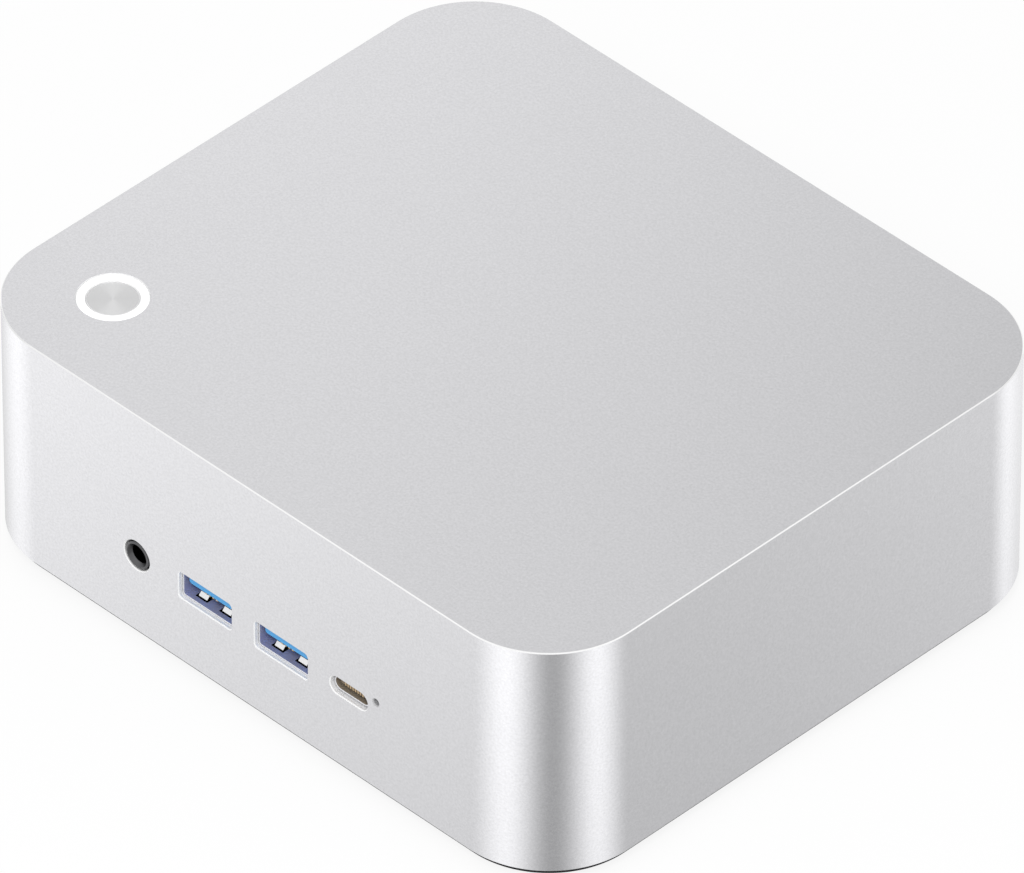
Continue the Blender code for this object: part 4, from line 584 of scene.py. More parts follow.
class Shape:
    """Mesh being built from lofts and turned profiles."""

    def __init__(self) -> None:
        self.mesh = bmesh.new()

    def loft(self, sections: Sequence[Sequence[Point3]], closed: bool = False, look: int = 0) -> "Shape":
        """Adds a skin through sections of equal count.

        Args:
            sections: Rings of points in order.
            closed: True to join the last ring to the first, False to cap both ends.
            look: Number of the finish that the skin has.

        Returns:
            This shape.
        """
        loops = [[self.mesh.verts.new(point) for point in section] for section in sections]
        pairs = list(zip(loops, loops[1:]))
        faces = []
        if closed:
            pairs.append((loops[-1], loops[0]))
        else:
            faces += [self.mesh.faces.new(loops[0]), self.mesh.faces.new(loops[-1])]
        for near, far in pairs:
            for index, corner in enumerate(near):
                after = (index + 1) % len(near)
                faces.append(self.mesh.faces.new((corner, near[after], far[after], far[index])))
        bmesh.ops.recalc_face_normals(self.mesh, faces=faces)
        for face in faces:
            face.material_index = look
        return self

    def turn(self, profile: Sequence[Point2], steps: int, centre: Point3, axis: Axis = Axis.UP,
             closed: bool = False, look: int = 0) -> "Shape":
        """Adds a turned skin.

        Args:
            profile: Pairs of radius and distance along the axis.
            steps: Facets round it.
            centre: Where the axis distance is 0.
            axis: Axis to turn about.
            closed: True if the profile is a loop.
            look: Number of the finish that the skin has.

        Returns:
            This shape.
        """
        sections = []
        for radius, along in profile:
            if axis is Axis.UP:
                ring = circle(radius, steps, (centre[0], centre[1]))
                sections.append(flat(ring, centre[2] + along))
            else:
                ring = circle(radius, steps, (centre[0], centre[2]))
                sections.append(upright(ring, centre[1] + along))
        return self.loft(sections, closed, look)

    def block(self, low: Point3, high: Point3, look: int = 0) -> "Shape":
        """Adds a small rectangular tab or pad between two corners."""
        outline = [(high[0], high[1]), (low[0], high[1]), (low[0], low[1]), (high[0], low[1])]
        return self.loft([flat(outline, low[2]), flat(outline, high[2])], look=look)

    def moved(self, matrix: Matrix) -> "Shape":
        """Moves everything so far by a matrix."""
        bmesh.ops.transform(self.mesh, matrix=matrix, verts=self.mesh.verts)
        return self

    def into(self, data: bpy.types.Mesh) -> None:
        """Adds this shape to a mesh that may already hold faces, and lets it go."""
        joined = bmesh.new()
        joined.from_mesh(data)
        extra = bpy.data.meshes.new("extra")
        self.mesh.to_mesh(extra)
        joined.from_mesh(extra)
        joined.to_mesh(data)
        joined.free()
        self.mesh.free()
        bpy.data.meshes.remove(extra)


@dataclass
class Piece:
    """One visible object of the case, with its finishes in the order its faces number them."""

    name: str
    finishes: Sequence[Finish]
    body: str = "chassis"
    stands_for: Sequence[str] = ()
    shown: bpy.types.Object = field(init=False)

    def make(self, shape: Shape) -> "Piece":
        """Makes the object from a shape.

        Args:
            shape: Its mesh.

        Returns:
            This piece.
        """
        data = bpy.data.meshes.new(self.name)
        shape.into(data)
        for finish in self.finishes:
            data.materials.append(Paint.material(finish))
        self.shown = bpy.data.objects.new(self.name, data)
        bpy.context.scene.collection.objects.link(self.shown)
        return self

    def carve(self, tool: Shape) -> "Piece":
        """Cuts a shape out of the object.

        Args:
            tool: The shape, whose parts stay clear of each other.

        Returns:
            This piece.
        """
        data = bpy.data.meshes.new("tool")
        tool.into(data)
        for finish in self.finishes:
            data.materials.append(Paint.material(finish))
        cutter = bpy.data.objects.new("tool", data)
        bpy.context.scene.collection.objects.link(cutter)
        modifier = self.shown.modifiers.new("carve", "BOOLEAN")
        modifier.operation = "DIFFERENCE"
        modifier.solver = "EXACT"
        modifier.material_mode = "INDEX"
        modifier.object = cutter
        graph = bpy.context.evaluated_depsgraph_get()
        result = bpy.data.meshes.new_from_object(self.shown.evaluated_get(graph))
        self.shown.modifiers.clear()
        self.shown.data = result
        bpy.data.objects.remove(cutter, do_unlink=True)
        return self

    def add(self, shape: Shape) -> "Piece":
        """Joins a shape to the object's mesh."""
        shape.into(self.shown.data)
        return self

    def done(self, sharp: float = SMOOTH_ANGLE) -> bpy.types.Object:
        """Smooths the object, seats it on its body and logs it.

        Args:
            sharp: Angle between faces above which an edge stays sharp.

        Returns:
            The object.
        """
        self.shown.data.shade_smooth()
        self.shown.data.set_sharp_from_angle(angle=sharp)
        even = self.shown.modifiers.new("even_normals", "WEIGHTED_NORMAL")
        even.keep_sharp = True
        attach(self.shown, self.body)
        if self.stands_for:
            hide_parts(*self.stands_for)
        LOG.info("%s: %d faces", self.name, len(self.shown.data.polygons))
        return self.shown


def paint_cavity_shade(shell: Shape, width: float, height: float, look: int) -> None:
    """Paints the cavity of a socket shell at the origin with a finish of painted shade and painted
    reflection.

    Args:
        shell: The shell.
        width: Width of its cavity.
        height: Height of its cavity.
        look: Number of the finish.
    """
    # Faces in the cavity behind its lip get the painted shade and reflection finish.
    for face in shell.mesh.faces:
        centre = face.calc_center_median()
        cavity_shade = abs(centre.x) < width / 2 + RIM_ROUND / 4 and abs(centre.z) < height / 2 + RIM_ROUND / 4
        if cavity_shade and centre.y > RIM_ROUND:
            face.material_index = look


def socket_shell(ring: Callable[[float], Outline], body: Outline, wall: float, depths: Point3) -> Shape:
    """Shell of a socket at the origin, with a rounded lip.

    Args:
        ring: Outline of the cavity, grown by an amount.
        body: Outline behind the collar.
        wall: Thickness of the shell.
        depths: Length of the collar, of the cavity and of the whole shell.

    Returns:
        The shell.
    """
    collar, back, length = depths
    return Shape().loft([
        upright(ring(0.0), back),
        upright(ring(0.0), RIM_ROUND),
        upright(ring(RIM_ROUND), 0.0),
        upright(ring(wall - RIM_ROUND), 0.0),
        upright(ring(wall), RIM_ROUND),
        upright(ring(wall), collar),
        upright(body, collar),
        upright(body, length),
    ])


def tongue_shape(blade: Outline, block: Outline, depths: Point3) -> Shape:
    """Tongue of a socket at the origin, and the block that holds it.

    Args:
        blade: Outline of the tongue.
        block: Outline of the block.
        depths: Where the tongue starts, where the block starts and where it ends.

    Returns:
        Both in one.
    """
    start, root, end = depths
    return Shape().loft([upright(blade, start), upright(blade, root),
                         upright(block, root), upright(block, end)])


def middle(node: str) -> Vector:
    """Middle of a CAD node's box."""
    low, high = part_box(node)
    return (low + high) / 2


def mouth_tool(mouth: Callable[[float], Outline], x: float, z: float, face: float, side: Side,
               depth: float, look: int) -> Shape:
    """Cutter for an opening with a chamfered rim.

    Args:
        mouth: Outline of the opening, grown by an amount.
        x: Its middle along X.
        z: Its middle along Z.
        face: Y of the wall's outer face.
        side: Wall that it is in.
        depth: How far in it cuts.
        look: Number of the finish that the cut has.

    Returns:
        The cutter.
    """
    sections = []
    for level, grow in ((-MOUTH_CHAMFER, 2 * MOUTH_CHAMFER), (MOUTH_CHAMFER, 0.0), (depth, 0.0)):
        outline = [(x + a, z + b) for a, b in mouth(grow)]
        sections.append(upright(outline, face + side.value * level))
    return Shape().loft(sections, look=look)


def rounded_mouth(size: Point3) -> Callable[[float], Outline]:
    """Growing outline of a rectangular opening, from its width, height and corner radius."""
    return lambda grow: rounded(size[0] + 2 * grow, size[1] + 2 * grow, size[2] + grow, MOUTH_STEPS)


def round_mouth(radius: float) -> Callable[[float], Outline]:
    """Growing outline of a round opening."""
    return lambda grow: circle(radius + grow, ROUND_STEPS)


def video_outline(width: float, height: float, cut: float) -> Outline:
    """Rectangle of X and Z whose lower corners are cut."""
    half = width / 2
    right = [(half - cut, -height / 2), (half, cut - height / 2), (half, height / 2)]
    return right + [(-x, z) for x, z in reversed(right)]


def video_mouth(grow: float) -> Outline:
    """Growing outline of the video opening."""
    margin = 2 * (VIDEO_MARGIN + grow)
    return video_outline(VIDEO_WIDTH + margin, VIDEO_HEIGHT + margin, VIDEO_CUT)


@dataclass
class SocketPlace:
    """Where a socket is: the middle of its mouth, and the wall it looks out of."""

    x: float
    y: float
    z: float
    side: Side

    @classmethod
    def of(cls, node: str, side: Side, height: float) -> "SocketPlace":
        """Reads a place from a CAD node.

        Args:
            node: The node.
            side: Its wall.
            height: Height of the socket's rim, which starts at the node's lowest point.

        Returns:
            The place.
        """
        low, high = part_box(node)
        mouth = low.y if side is Side.FRONT else high.y
        return cls((low.x + high.x) / 2, mouth, low.z + height / 2, side)

    def matrix(self) -> Matrix:
        """Moves a socket modelled at the origin, looking along -Y, to this place."""
        turn = 0.0 if self.side is Side.FRONT else math.pi
        return Matrix.Translation((self.x, self.y, self.z)) @ Matrix.Rotation(turn, 4, "Z")


@dataclass
class Housing:
    """Aluminium lid and walls in one shell."""

    steps: int = CORNER_STEPS
    low: Vector = field(init=False)
    high: Vector = field(init=False)

    def __post_init__(self) -> None:
        """Reads the case's size."""
        self.low, self.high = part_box("top_housing")

    def outline(self, inset: float) -> Outline:
        """Case in plan, drawn in by an inset."""
        size = self.high - self.low
        return rounded(size.x - 2 * inset, size.y - 2 * inset, CORNER_RADIUS - inset, self.steps)

    def shell(self) -> Shape:
        """Walls and lid with a polished upper edge.

        Returns:
            The shell.
        """
        bottom, top = self.low.z, self.high.z
        shape = Shape().loft([
            flat(self.outline(WALL), top - LID),
            flat(self.outline(WALL), bottom),
            flat(self.outline(LOWER_CHAMFER), bottom),
            flat(self.outline(0.0), bottom + LOWER_CHAMFER),
            flat(self.outline(0.0), top - EDGE_CHAMFER),
            flat(self.outline(EDGE_CHAMFER), top),
        ])
        shape.mesh.normal_update()
        for face in shape.mesh.faces:
            if EDGE_SLOPES[0] < face.normal.z < EDGE_SLOPES[1]:
                face.material_index = SECOND
        return shape

    def openings(self) -> list[Shape]:
        """Cutters for the front sockets, the rear window and the button.

        Returns:
            The cutters.
        """
        front = self.low.y
        depth = WALL + PAST
        tools = []
        places = [(f"type_a_front_{number}_shell", TYPE_A_HEIGHT + 2 * TYPE_A_SHELL, TYPE_A_MOUTH)
                  for number in (1, 2)]
        places.append(("type_c_front_shell", TYPE_C_HEIGHT + 2 * TYPE_C_SHELL, TYPE_C_MOUTH))
        for node, height, size in places:
            place = SocketPlace.of(node, Side.FRONT, height)
            tools.append(mouth_tool(rounded_mouth(size), place.x, place.z, front, Side.FRONT, depth, THIRD))
        jack = AudioJack.place()
        pin = middle("reset_plunger")
        # Painted shade: the reset hole's wall gets the darker grey fourth finish.
        for radius, place, look in ((AUDIO_MOUTH_RADIUS, jack, THIRD), (RESET_RADIUS, pin, FOURTH)):
            tools.append(mouth_tool(round_mouth(radius), place.x, place.z, front, Side.FRONT, depth, look))
        window = [upright(RearPanel.outline(0.0), self.high.y + way) for way in (-depth, PAST)]
        tools.append(Shape().loft(window, look=THIRD))
        ring = middle("light_ring")
        hole = RING_HOLE_GAP + RING_RADIUS
        tools.append(Shape().turn([(hole, -depth - LID), (hole, PAST)], BUTTON_STEPS,
                                  (ring.x, ring.y, self.high.z), look=THIRD))
        return tools

    def posts(self) -> Shape:
        """Posts under the lid for the cover, board and button screws.

        Returns:
            The posts.
        """
        shape = Shape()
        ceiling = self.high.z - LID
        cover_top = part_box("bottom_cover")[1].z + COVER_SEAM
        board_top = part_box("motherboard")[1].z + COVER_SEAM
        kinds = (("cover_screw_", 4, POST_RADIUS, SCREW_RADIUS, cover_top),
                 ("board_screw_", 4, STANDOFF_RADIUS, SCREW_RADIUS, board_top),
                 ("holder_screw_", 2, BOSS_RADIUS, HOLDER_SCREW_RADIUS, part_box("light_ring")[0].z))
        for prefix, count, radius, shank, floor in kinds:
            bore = shank + BORE_GAP
            end = min(floor + BORE_DEPTH, ceiling)
            for number in range(1, count + 1):
                place = middle(f"{prefix}{number}")
                shape.turn([(bore, end), (bore, floor), (radius, floor), (radius, ceiling + LID / 2)],
                           ROUND_STEPS // 2, (place.x, place.y, 0.0))
        return shape

    def build(self) -> None:
        """Makes the shell, its openings and its posts."""
        piece = Piece("housing", (BLASTED, POLISHED, MACHINED, PINHOLE_SHADE), stands_for=("top_housing",))
        piece.make(self.shell())
        for tool in self.openings():
            piece.carve(tool)
        piece.add(self.posts())
        piece.done()


@dataclass
class BaseCover:
    """Black base plate with air slots, and the feet and screws in it."""

    housing: Housing

    def build(self) -> None:
        """Makes the plate, four feet and four screws."""
        low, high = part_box("bottom_cover")
        seam = self.housing.low.z - COVER_SEAM
        lip = WALL + COVER_SEAM
        outline = self.housing.outline
        piece = Piece("base_cover", (BLACK,), stands_for=("bottom_cover",)).make(Shape().loft([
            flat(outline(COVER_INSET + BASE_EDGE), low.z),
            flat(outline(COVER_INSET), low.z + BASE_EDGE),
            flat(outline(COVER_INSET), seam),
            flat(outline(lip), seam),
            flat(outline(lip), high.z),
            flat(outline(lip + LIP_THICKNESS), high.z),
            flat(outline(lip + LIP_THICKNESS), low.z + COVER_FLOOR),
        ]))
        piece.carve(self.slots(low.z, low.z + COVER_FLOOR))
        wells = Shape()
        for number in range(1, 5):
            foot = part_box(f"rubber_foot_{number}")
            radius = (foot[1].x - foot[0].x) / 2 + FOOT_SEAT_GAP
            place = (foot[0] + foot[1]) / 2
            wells.turn([(radius, -PAST), (radius, FOOT_SEAT)], ROUND_STEPS, (place.x, place.y, low.z))
            screw = middle(f"cover_screw_{number}")
            bore = SCREW_RADIUS + BORE_GAP
            wells.turn([(SCREW_WELL_RADIUS, -PAST), (SCREW_WELL_RADIUS, SCREW_WELL_DEPTH),
                        (bore, SCREW_WELL_DEPTH), (bore, COVER_FLOOR + PAST)],
                       ROUND_STEPS, (screw.x, screw.y, low.z))
        piece.carve(wells)
        piece.add(self.bosses(low.z + COVER_FLOOR, high.z))
        piece.done()
        for number in range(1, 5):
            self.foot(number)
            self.screw(number)

    def bosses(self, floor: float, top: float) -> Shape:
        """Rings round the screws inside the plate.

        Args:
            floor: Upper side of the plate.
            top: Where the rings end.

        Returns:
            The four rings.
        """
        shape = Shape()
        bore = SCREW_RADIUS + BORE_GAP
        low = floor - COVER_SEAM
        for number in range(1, 5):
            place = middle(f"cover_screw_{number}")
            shape.turn([(bore, low), (bore, top), (POST_RADIUS, top), (POST_RADIUS, low)], ROUND_STEPS // 2,
                       (place.x, place.y, 0.0), closed=True)
        return shape

    def slots(self, low: float, high: float) -> Shape:
        """Cutters of the two rows of air slots.

        Args:
            low: Underside of the plate.
            high: Its upper side.

        Returns:
            The cutters.
        """
        tool = Shape()
        for row in (-1, 1):
            for index in range(INTAKE_COUNT):
                x = (index - (INTAKE_COUNT - 1) / 2) * INTAKE_PITCH
                outline = rounded(INTAKE_WIDTH, INTAKE_LENGTH, INTAKE_WIDTH / 2 - COVER_EDGE / 4,
                                  MOUTH_STEPS, (x, row * INTAKE_OFFSET))
                tool.loft([flat(outline, low - PAST), flat(outline, high + PAST)])
        return tool

    def foot(self, number: int) -> None:
        """Makes one rubber foot with a rounded edge.

        Args:
            number: Which foot.
        """
        low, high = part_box(f"rubber_foot_{number}")
        radius = (high.x - low.x) / 2
        place = (low + high) / 2
        profile = arc(FOOT_EDGE, -math.pi / 2, 0.0, MOUTH_STEPS, (radius - FOOT_EDGE, FOOT_EDGE))
        profile.append((radius, high.z))
        Piece(f"foot_{number}", (RUBBER,), stands_for=(f"rubber_foot_{number}",)).make(
            Shape().turn(profile, ROUND_STEPS, (place.x, place.y, low.z))).done()

    def screw(self, number: int) -> None:
        """Makes one cover screw with a lobed recess in its head.

        Args:
            number: Which screw.
        """
        low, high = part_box(f"cover_screw_{number}")
        radius = (high.x - low.x) / 2
        place = (low + high) / 2
        lobes = []
        for x, y in circle(1.0, ROUND_STEPS):
            wave = 1.0 + SCREW_LOBE_DEPTH * math.cos(SCREW_LOBES * math.atan2(y, x))
            reach = SCREW_RECESS_RADIUS * wave
            lobes.append((place.x + reach * x, place.y + reach * y))
        rims = ((radius - SCREW_EDGE, 0.0), (radius, SCREW_EDGE), (radius, SCREW_HEAD_HEIGHT),
                (SCREW_RADIUS, SCREW_HEAD_HEIGHT), (SCREW_RADIUS, high.z - low.z))
        sections = [flat(lobes, low.z + SCREW_RECESS_DEPTH), flat(lobes, low.z)]
        for reach, height in rims:
            sections.append(flat(circle(reach, ROUND_STEPS, (place.x, place.y)), low.z + height))
        Piece(f"cover_bolt_{number}", (SCREW,), stands_for=(f"cover_screw_{number}",)).make(
            Shape().loft(sections)).done()


@dataclass
class PowerButton:
    """Lit ring and the spun button inside it."""

    def build(self) -> None:
        """Makes the ring and the button."""
        low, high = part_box("light_ring")
        place = (low + high) / 2
        cap_low, cap_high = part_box("power_button_cap")
        flange = (high.x - low.x) / 2
        bore = CAP_RADIUS + RING_HOLE_GAP
        shelf = low.z + RING_FLANGE
        Piece("lit_ring", (LIT,), stands_for=("light_ring",)).make(Shape().turn([
            (RING_RADIUS - RING_LIP, high.z),
            (RING_RADIUS, high.z - RING_LIP),
            (RING_RADIUS, shelf),
            (flange, shelf),
            (flange, low.z),
            (bore, low.z),
            (bore, high.z - RING_LIP),
            (bore + RING_LIP, high.z),
        ], BUTTON_STEPS, (place.x, place.y, 0.0), closed=True)).done()
        button = Shape().turn(self.cap(cap_low.z, cap_high), BUTTON_STEPS, (place.x, place.y, 0.0))
        Piece("spun_button", (SPUN,), "power_button", ("power_button_cap",)).make(button).done(GROOVE_ANGLE)

    def cap(self, bottom: float, high: Vector) -> Outline:
        """Profile of the button, with fine turned grooves across its face.

        Args:
            bottom: Lowest point of its stem.
            high: Highest corner of its box.

        Returns:
            Pairs of radius and height.
        """
        top = high.z
        shelf = bottom + STEM_LENGTH
        rim = CAP_RADIUS - CAP_EDGE
        profile = [(STEM_RADIUS, bottom), (STEM_RADIUS, shelf), (CAP_FLANGE_RADIUS, shelf),
                   (CAP_FLANGE_RADIUS, shelf + CAP_FLANGE), (CAP_RADIUS, shelf + CAP_FLANGE),
                   (CAP_RADIUS, top - CAP_EDGE), (rim, top)]
        for index in range(1, int(rim / GROOVE_PITCH)):
            reach = rim - index * GROOVE_PITCH
            profile.append((reach + GROOVE_PITCH / 2, top - GROOVE_DEPTH))
            profile.append((reach, top))
        return profile


@dataclass
class AudioJack:
    """Audio jack with a chamfered dark collar."""

    @staticmethod
    def place() -> SocketPlace:
        """Where the jack's hole is."""
        low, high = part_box("audio_jack")
        half = (high.x - low.x) / 2
        return SocketPlace((low.x + high.x) / 2, low.y, low.z + half, Side.FRONT)

    def build(self) -> None:
        """Makes the collar, the bore and the block behind, with the bore painted near-black as shade."""
        low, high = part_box("audio_jack")
        spot = self.place()
        crown = AUDIO_BORE_RADIUS + COLLAR_CHAMFER
        centre = (AUDIO_NOSE_RADIUS - COLLAR_ROUND, COLLAR_ROUND)
        shoulder = arc(COLLAR_ROUND, -math.pi / 2, 0.0, MOUTH_STEPS, centre)
        nose = [(AUDIO_BORE_RADIUS, AUDIO_BORE_DEPTH), (AUDIO_BORE_RADIUS, COLLAR_DEPTH),
                (crown, COLLAR_EDGE), (crown + COLLAR_EDGE, 0.0)] + shoulder
        nose.append((AUDIO_NOSE_RADIUS, high.y - low.y))
        shape = Shape().turn(nose, ROUND_STEPS, (spot.x, spot.y, spot.z), Axis.INWARD)
        size = high - low
        face = rounded(size.x, size.z, COVER_EDGE, MOUTH_STEPS, (spot.x, (low.z + high.z) / 2))
        hole = circle(AUDIO_NOSE_RADIUS, len(face), (spot.x, spot.z))
        front = low.y + WALL + COVER_SEAM
        shape.loft([upright(hole, front), upright(face, front),
                    upright(face, high.y), upright(hole, high.y)])
        piece = Piece("jack", (COLLAR, SHADE_BLACK), stands_for=("audio_jack",)).make(shape)
        # Painted shade: the bore's faces get the near-black second finish in place of the shade in the hole.
        for face in piece.shown.data.polygons:
            centre = face.center
            if math.hypot(centre.x - spot.x, centre.z - spot.z) < AUDIO_BORE_RADIUS + RIM_ROUND / 4:
                face.material_index = SECOND
        piece.done()


@dataclass
class TypeASocket:
    """Type-A socket: a steel shell with two floor springs, and an insulator with its tongue."""

    node: str
    side: Side
    tongue: Finish
    # Finish of painted shade and painted tongue reflection for the cavity.
    cavity_shade: Finish

    def place(self) -> SocketPlace:
        """Where the socket is."""
        return SocketPlace.of(f"{self.node}_shell", self.side, TYPE_A_HEIGHT + 2 * TYPE_A_SHELL)

    def build(self) -> None:
        """Makes the shell, its springs and the tongue."""
        low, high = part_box(f"{self.node}_shell")
        length = high.y - low.y
        wide = TYPE_A_WIDTH + 2 * TYPE_A_SHELL
        tall = TYPE_A_HEIGHT + 2 * TYPE_A_SHELL
        saddle = high.z - low.z - tall
        radius = TYPE_A_RADIUS + TYPE_A_SHELL
        back = length - TYPE_A_BACK

        def ring(grow: float) -> Outline:
            """Cavity's outline grown by an amount."""
            return rounded(TYPE_A_WIDTH + 2 * grow, TYPE_A_HEIGHT + 2 * grow, TYPE_A_RADIUS + grow,
                           MOUTH_STEPS)

        body = rounded(wide, tall + saddle, radius, MOUTH_STEPS, (0.0, saddle / 2))
        shell = socket_shell(ring, body, TYPE_A_SHELL, (TYPE_A_COLLAR, back, length))
        # Painted shade and reflection: the cavity gets the darker, blue-tinted third finish.
        paint_cavity_shade(shell, TYPE_A_WIDTH, TYPE_A_HEIGHT, THIRD)
        matrix = self.place().matrix()
        piece = Piece(f"{self.node}_case", (STEEL, SPRING, self.cavity_shade, SHADE_BLACK),
                      stands_for=(f"{self.node}_shell",)).make(shell.moved(matrix))
        floor = -TYPE_A_HEIGHT / 2
        # Painted shade: the spring windows' cut walls get the near-black fourth finish, standing in for the
        # dark gaps round the springs.
        windows = Shape()
        for sign in (-1, 1):
            x = sign * SPRING_OFFSET
            reach = SPRING_WIDTH / 2 + WINDOW_MARGIN
            windows.block((x - reach, SPRING_FRONT, floor - 2 * TYPE_A_SHELL),
                          (x + reach, SPRING_BACK, floor + RIM_ROUND), look=FOURTH)
        piece.carve(windows.moved(matrix))
        piece.add(self.springs(floor).moved(matrix))
        piece.done()
        self.insulator(back, matrix)

    def springs(self, floor: float) -> Shape:
        """Leaf springs that rise from the shell's floor.

        Args:
            floor: Height of the floor.

        Returns:
            Both springs.
        """
        shape = Shape()
        line = [(SPRING_BACK + SPRING_THICKNESS, -SPRING_THICKNESS), (SPRING_BACK - SPRING_FLAT, 0.0),
                (SPRING_CREST + SPRING_FLAT, SPRING_RISE), (SPRING_CREST, SPRING_RISE),
                (SPRING_FRONT + WINDOW_MARGIN, 0.0)]
        profile = [(y, floor + z) for y, z in line]
        profile += [(y, floor + z - SPRING_THICKNESS) for y, z in reversed(line)]
        half = SPRING_WIDTH / 2
        for sign in (-1, 1):
            x = sign * SPRING_OFFSET
            shape.loft([sideways(profile, x - half), sideways(profile, x + half)], look=SECOND)
        return shape

    def insulator(self, back: float, matrix: Matrix) -> None:
        """Makes the tongue and the block that holds it.

        Args:
            back: Depth of the cavity.
            matrix: Where the socket is.
        """
        low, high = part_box(f"{self.node}_tongue")
        width = high.x - low.x
        start = TYPE_A_TONGUE_SETBACK
        root = start + TYPE_A_TONGUE_LENGTH
        top = TYPE_A_HEIGHT / 2 - TYPE_A_TONGUE_GAP
        thick = TYPE_A_TONGUE_THICKNESS
        seat = TYPE_A_HEIGHT / 2 - COVER_SEAM

        def tongue(inset: float) -> Outline:
            """Tongue's front outline, with round lower corners."""
            centre = (0.0, top - thick / 2)
            return rounded(width - 2 * inset, thick - 2 * inset, TONGUE_CORNER - inset, MOUTH_STEPS, centre)

        block = rounded(width, 2 * seat, TONGUE_CORNER, MOUTH_STEPS)
        shape = Shape().loft([
            upright(tongue(TONGUE_EDGE), start),
            upright(tongue(0.0), start + TONGUE_EDGE),
            upright(tongue(0.0), root),
            upright(block, root),
            upright(block, back - COVER_SEAM),
        ])
        under = top - thick
        half = FINGER_WIDTH / 2
        tip = start + FINGER_FRONT
        line = [(tip, under + CONTACT_RISE), (tip, under - FINGER_DROP / 2),
                (tip + FINGER_REACH, under - FINGER_DROP),
                (tip + 3 * FINGER_REACH, under - FINGER_DROP / 2),
                (root, under - CONTACT_RISE), (root, under + CONTACT_RISE)]
        for x in FINGER_OFFSETS:
            shape.loft([sideways(line, x - half), sideways(line, x + half)], look=SECOND)
        Piece(f"{self.node}_insulator", (self.tongue, GOLD), stands_for=(f"{self.node}_tongue",)).make(
            shape.moved(matrix)).done()


@dataclass
class TypeCSocket:
    """Type-C socket: a steel shell with round ends, and a tongue with gilt contacts."""

    node: str
    side: Side
    tongue: Finish
    # Finish of painted shade and painted tongue reflection for the cavity.
    cavity_shade: Finish

    def build(self) -> None:
        """Makes the shell and the tongue."""
        low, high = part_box(f"{self.node}_shell")
        length = high.y - low.y
        wide = TYPE_C_WIDTH + 2 * TYPE_C_SHELL
        tall = TYPE_C_HEIGHT + 2 * TYPE_C_SHELL
        saddle = high.z - low.z - tall
        place = SocketPlace.of(f"{self.node}_shell", self.side, tall)
        back = length - TYPE_C_BACK

        def ring(grow: float) -> Outline:
            """Cavity's outline grown by an amount."""
            height = TYPE_C_HEIGHT + 2 * grow
            return rounded(TYPE_C_WIDTH + 2 * grow, height, height / 2 - RIM_ROUND / 2, MOUTH_STEPS)

        body = rounded(wide, tall + saddle, TYPE_C_SHELL, MOUTH_STEPS, (0.0, saddle / 2))
        shell = socket_shell(ring, body, TYPE_C_SHELL, (TYPE_C_COLLAR, back, length))
        # Painted shade and reflection: the cavity gets the darker, brown-tinted second finish.
        paint_cavity_shade(shell, TYPE_C_WIDTH, TYPE_C_HEIGHT, SECOND)
        matrix = place.matrix()
        Piece(f"{self.node}_case", (STEEL, self.cavity_shade), stands_for=(f"{self.node}_shell",)).make(
            shell.moved(matrix)).done()
        tongue_low, tongue_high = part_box(f"{self.node}_tongue")
        width = tongue_high.x - tongue_low.x
        thick = TYPE_C_TONGUE_THICKNESS
        start = TYPE_C_TONGUE_SETBACK
        root = start + TYPE_C_TONGUE_LENGTH
        blade = rounded(width, thick, TYPE_C_TONGUE_CORNER, MOUTH_STEPS)
        block = rounded(width, TYPE_C_HEIGHT - 2 * COVER_SEAM, BLOCK_CORNER, MOUTH_STEPS)
        shape = tongue_shape(blade, block, (start, root, back - COVER_SEAM))
        for index in range(TYPE_C_CONTACTS):
            x = (index - (TYPE_C_CONTACTS - 1) / 2) * TYPE_C_CONTACT_PITCH
            half = TYPE_C_CONTACT_WIDTH / 2
            shape.block((x - half, start - CONTACT_RISE, -thick / 2 - CONTACT_RISE),
                        (x + half, root, thick / 2 + CONTACT_RISE), look=SECOND)
        Piece(f"{self.node}_blade", (self.tongue, GOLD), stands_for=(f"{self.node}_tongue",)).make(
            shape.moved(matrix)).done()


